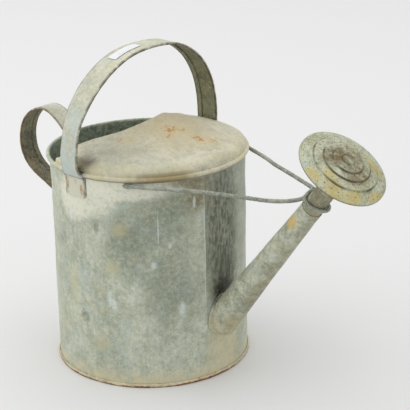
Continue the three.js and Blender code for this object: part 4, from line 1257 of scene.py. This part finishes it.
# Stay wire: near arm, one turn round the stem, far arm, soldered to the wall at both ends
wireShape = {
    "lump": (63.5, 92.4, 238.2), "lumpSize": (5.5, 3.4, 2.7),
    "radius": 2.25, "sides": 16, "steps": 620, "coilMiddle": 218.6, "pitch": 5.6, "tilt": 4.0, "angle": 56.15,
    "height": 238.2,
    # bends of each arm from the wall out: [share of the way, step outwards, step up], steps as shares of its length
    "near": [
        (0.131, 0.0025, -0.0023), (0.269, 0.005, -0.0039), (0.407, 0.0061, -0.0079), (0.543, 0.0078, -0.016),
        (0.657, 0.0098, -0.0254), (0.769, 0.0119, -0.0342), (0.856, 0.0126, -0.032), (0.927, 0.0119, -0.0211),
    ],
    "far": [
        (0.105, 0.0043, 0.0032), (0.215, 0.0064, 0.0099), (0.35, 0.0146, 0.0113), (0.45, 0.0193, 0.0073),
        (0.657, 0.0288, 0.0119), (0.844, 0.0386, 0.0152), (0.946, 0.0446, 0.0176), (0.968, 0.0459, 0.0165),
    ],
}


def coilPoint(turn):
    shape = wireShape
    angle = math.radians(turn)
    along = shape["coilMiddle"] - shape["tilt"] * math.cos(angle) + shape["pitch"] * (turn - 180) / 360
    radius = roseShape["stem"] + canSize["gap"] + shape["radius"]
    return spoutStart + along * spoutWay + radius * (math.cos(angle) * spoutUp
        + math.sin(angle) * np.array([0, 1.0, 0]))


def wireArm(side, end, bends):
    shape = wireShape
    angle, reach = math.radians(side * shape["angle"]), canSize["radius"] + shape["radius"]
    start = np.array([reach * math.cos(angle), reach * math.sin(angle), shape["height"]])
    run = (end - start) * [1, 1, 0]
    outward, length = side * np.array([-run[1], run[0], 0]), np.linalg.norm(run)
    points = [start]
    for share, out, up in bends:
        rise = (end[2] - start[2]) * float(smooth(share, 0, 1)) + up * length
        points.append(start + run * share + outward * out + np.array([0, 0, rise]))
    return points


def solderLump(middle, size, seed):
    rings = np.linspace(-math.pi / 2, math.pi / 2, 14)
    profile = np.stack([np.cos(rings), np.sin(rings)], -1)
    turn = np.linspace(0, 2 * math.pi, 24, endpoint=False)
    ball = np.stack([profile[:, None, 0] * np.cos(turn), profile[:, None, 0] * np.sin(turn),
        profile[:, None, 1].repeat(24, 1)], -1)
    ball = ball * (1 + 0.12 * ripple(ball * 10, 9, seed))[..., None]
    return np.asarray(middle) + ball * np.asarray(size), gridFaces(14, 24, ringColumns=True)


def makeWire():
    shape = wireShape
    coil = [coilPoint(30 + 27 * i) for i in range(13)]
    near, far = wireArm(-1, coil[0], shape["near"]), wireArm(1, coil[-1], shape["far"])
    path = threadPath(near + coil + far[::-1], shape["steps"])
    way = np.gradient(path, axis=0)
    way /= np.linalg.norm(way, axis=1)[:, None]
    first = np.cross(way[0], (0, 0, 1.0))
    frames = [first / np.linalg.norm(first)]
    for step in way[1:]:
        turned_ = frames[-1] - (frames[-1] @ step) * step
        frames.append(turned_ / np.linalg.norm(turned_))
    frames = np.array(frames)
    other = np.cross(way, frames)
    turn = np.linspace(0, 2 * math.pi, shape["sides"], endpoint=False)
    radius = shape["radius"] - 0.1 * np.clip(ripple(path, 8, 81) + 0.5, 0, 2)
    ring = np.cos(turn)[None, :, None] * frames[:, None] + np.sin(turn)[None, :, None] * other[:, None]
    points = path[:, None] + radius[:, None, None] * ring
    faces = gridFaces(len(path), shape["sides"], ringColumns=True, caps=True)
    x, y, z = shape["lump"]
    lumps = [solderLump((x, side * y, z), shape["lumpSize"], seed) for side, seed in ((-1, 82), (1, 83))]
    return makeMesh("stayWire", [(points, faces)] + lumps)


wireTones = {"Pale": paint(168, 172, 158), "Deep": paint(112, 116, 104), "Blue": paint(150, 158, 152),
    "Ochre": paint(164, 156, 124)}
place(makeWire(), "stay_wire", "wire_zinc", plainZinc("wireZinc", wireTones, 1.3, 0.4, 0.3, 0.05, 0.4, 0.3))


# Sticker: a blank paper slip on the carrying handle
slipShape = {"length": 41.0, "width": 11.5, "thick": 0.3, "centre": 0.44, "across": -1.5, "rows": 40,
    "columns": 14}


def makeSlip():
    shape = slipShape
    fine, lies = archLine(4000)
    run = np.linalg.norm(np.diff(fine, axis=0), axis=1).sum()
    middle, reach = int(4000 * shape["centre"]), int(4000 * shape["length"] / 2 / run)
    picked = np.linspace(middle - reach, middle + reach, shape["rows"]).astype(int)
    path = fine[picked]
    way, width = squareTo(path, lies[picked])
    outward = -np.cross(way, width)
    across = np.linspace(-1, 1, shape["columns"])
    end = np.linspace(-1, 1, shape["rows"])
    narrow = 1 - 0.16 * np.clip((np.abs(end) - 0.93) / 0.07, 0, 1) ** 2
    side = shape["across"] + shape["width"] / 2 * across[None] * narrow[:, None]
    skins = []
    for lift in (canSize["gap"] + shape["thick"], canSize["gap"]):
        rise = lift + 0.12 * np.clip(ripple(path, 14, 91), 0, 1)[:, None] * np.abs(across) ** 4
        skins.append(path[:, None] + side[..., None] * width[:, None] + rise[..., None] * outward[:, None])
    loop = np.concatenate([skins[0], skins[1][:, ::-1]], 1)
    faces = gridFaces(shape["rows"], loop.shape[1], ringColumns=True, caps=True)
    return makeMesh("paperSlip", [(skewed(loop, skew), faces)])


def paperMaterial():
    material, tree, shader, where = startMaterial("blankPaper", 0.0)
    fibres = noiseOf(tree, where, 900, 3, 0.6)
    smudge = noiseOf(tree, where, 120, 4, 0.6)
    colour = mixed(tree, between(tree, smudge, 0.4, 0.75, (0.0, 0.5)), paint(222, 224, 226),
        paint(202, 204, 204))
    endMaterial(tree, shader, colour, between(tree, fibres, 0.3, 0.7, (0.7, 0.85)), fibres, 0.15, 0.0002)
    return material


place(makeSlip(), "paper_label", "label_paper", paperMaterial())
print("all pieces made")


# Studio: a wide pale floor and broad soft light
studio = {
    "floorColour": (0.72, 0.72, 0.72, 1), "floorSize": 24.0, "sky": 0.9,
    "key": {"place": (-2.1, -2.0, 2.5), "size": 4.6, "power": 40.0},
    "top": {"place": (-0.3, 0.4, 3.2), "size": 3.6, "power": 22.0},
    "camera": {
        "place": (1141.01, -1094.57, 756.43), "back": (0.6506, -0.6762, 0.3457),
        "up": (-0.2244, 0.2637, 0.9381),
        "focalPixels": 1475.724, "imageWidth": 410, "sensor": 36.0,
    },
}


def addLight(name, light):
    data = bpy.data.lights.new(name, "AREA")
    data.shape = "DISK"
    data.size = light["size"]
    data.energy = light["power"]
    lamp = bpy.data.objects.new(name, data)
    bpy.context.scene.collection.objects.link(lamp)
    lamp.location = Vector(canAxis) + Vector(light["place"])
    aim = Vector(canAxis) + Vector((0.02, 0, 0.15)) - lamp.location
    lamp.rotation_euler = aim.to_track_quat("-Z", "Y").to_euler()


def makeStudio():
    half = studio["floorSize"] / 2
    mesh = bpy.data.meshes.new("floor")
    mesh.from_pydata([(-half, -half, 0), (half, -half, 0), (half, half, 0), (-half, half, 0)], [],
        [(0, 1, 2, 3)])
    floor = bpy.data.objects.new("floor", mesh)
    bpy.context.scene.collection.objects.link(floor)
    material = bpy.data.materials.new("floorPaper")
    material.use_nodes = True
    shader = material.node_tree.nodes["Principled BSDF"]
    shader.inputs["Base Color"].default_value = studio["floorColour"]
    shader.inputs["Roughness"].default_value = 0.9
    shader.inputs["Specular IOR Level"].default_value = 0.1
    mesh.materials.append(material)
    world = bpy.data.worlds.new("studioSky")
    world.use_nodes = True
    world.node_tree.nodes["Background"].inputs["Color"].default_value = (1, 1, 1, 1)
    world.node_tree.nodes["Background"].inputs["Strength"].default_value = studio["sky"]
    bpy.context.scene.world = world
    addLight("keyLight", studio["key"])
    addLight("topLight", studio["top"])


def makeCamera():
    view = studio["camera"]
    data = bpy.data.cameras.new("camera")
    data.sensor_width = view["sensor"]
    data.lens = view["sensor"] * view["focalPixels"] / view["imageWidth"]
    data.clip_start, data.clip_end = 0.05, 60
    camera = bpy.data.objects.new("camera", data)
    bpy.context.scene.collection.objects.link(camera)
    back = Vector(view["back"]).normalized()
    right = Vector(view["up"]).cross(back).normalized()
    up = back.cross(right)
    camera.matrix_world = Matrix.Translation(Vector(canAxis) + Vector(view["place"]) * mm) @ Matrix((right,
        up, back)).transposed().to_4x4()
    bpy.context.scene.camera = camera


makeStudio()
makeCamera()
bpy.context.scene.view_settings.view_transform = "Standard"
print("studio made")
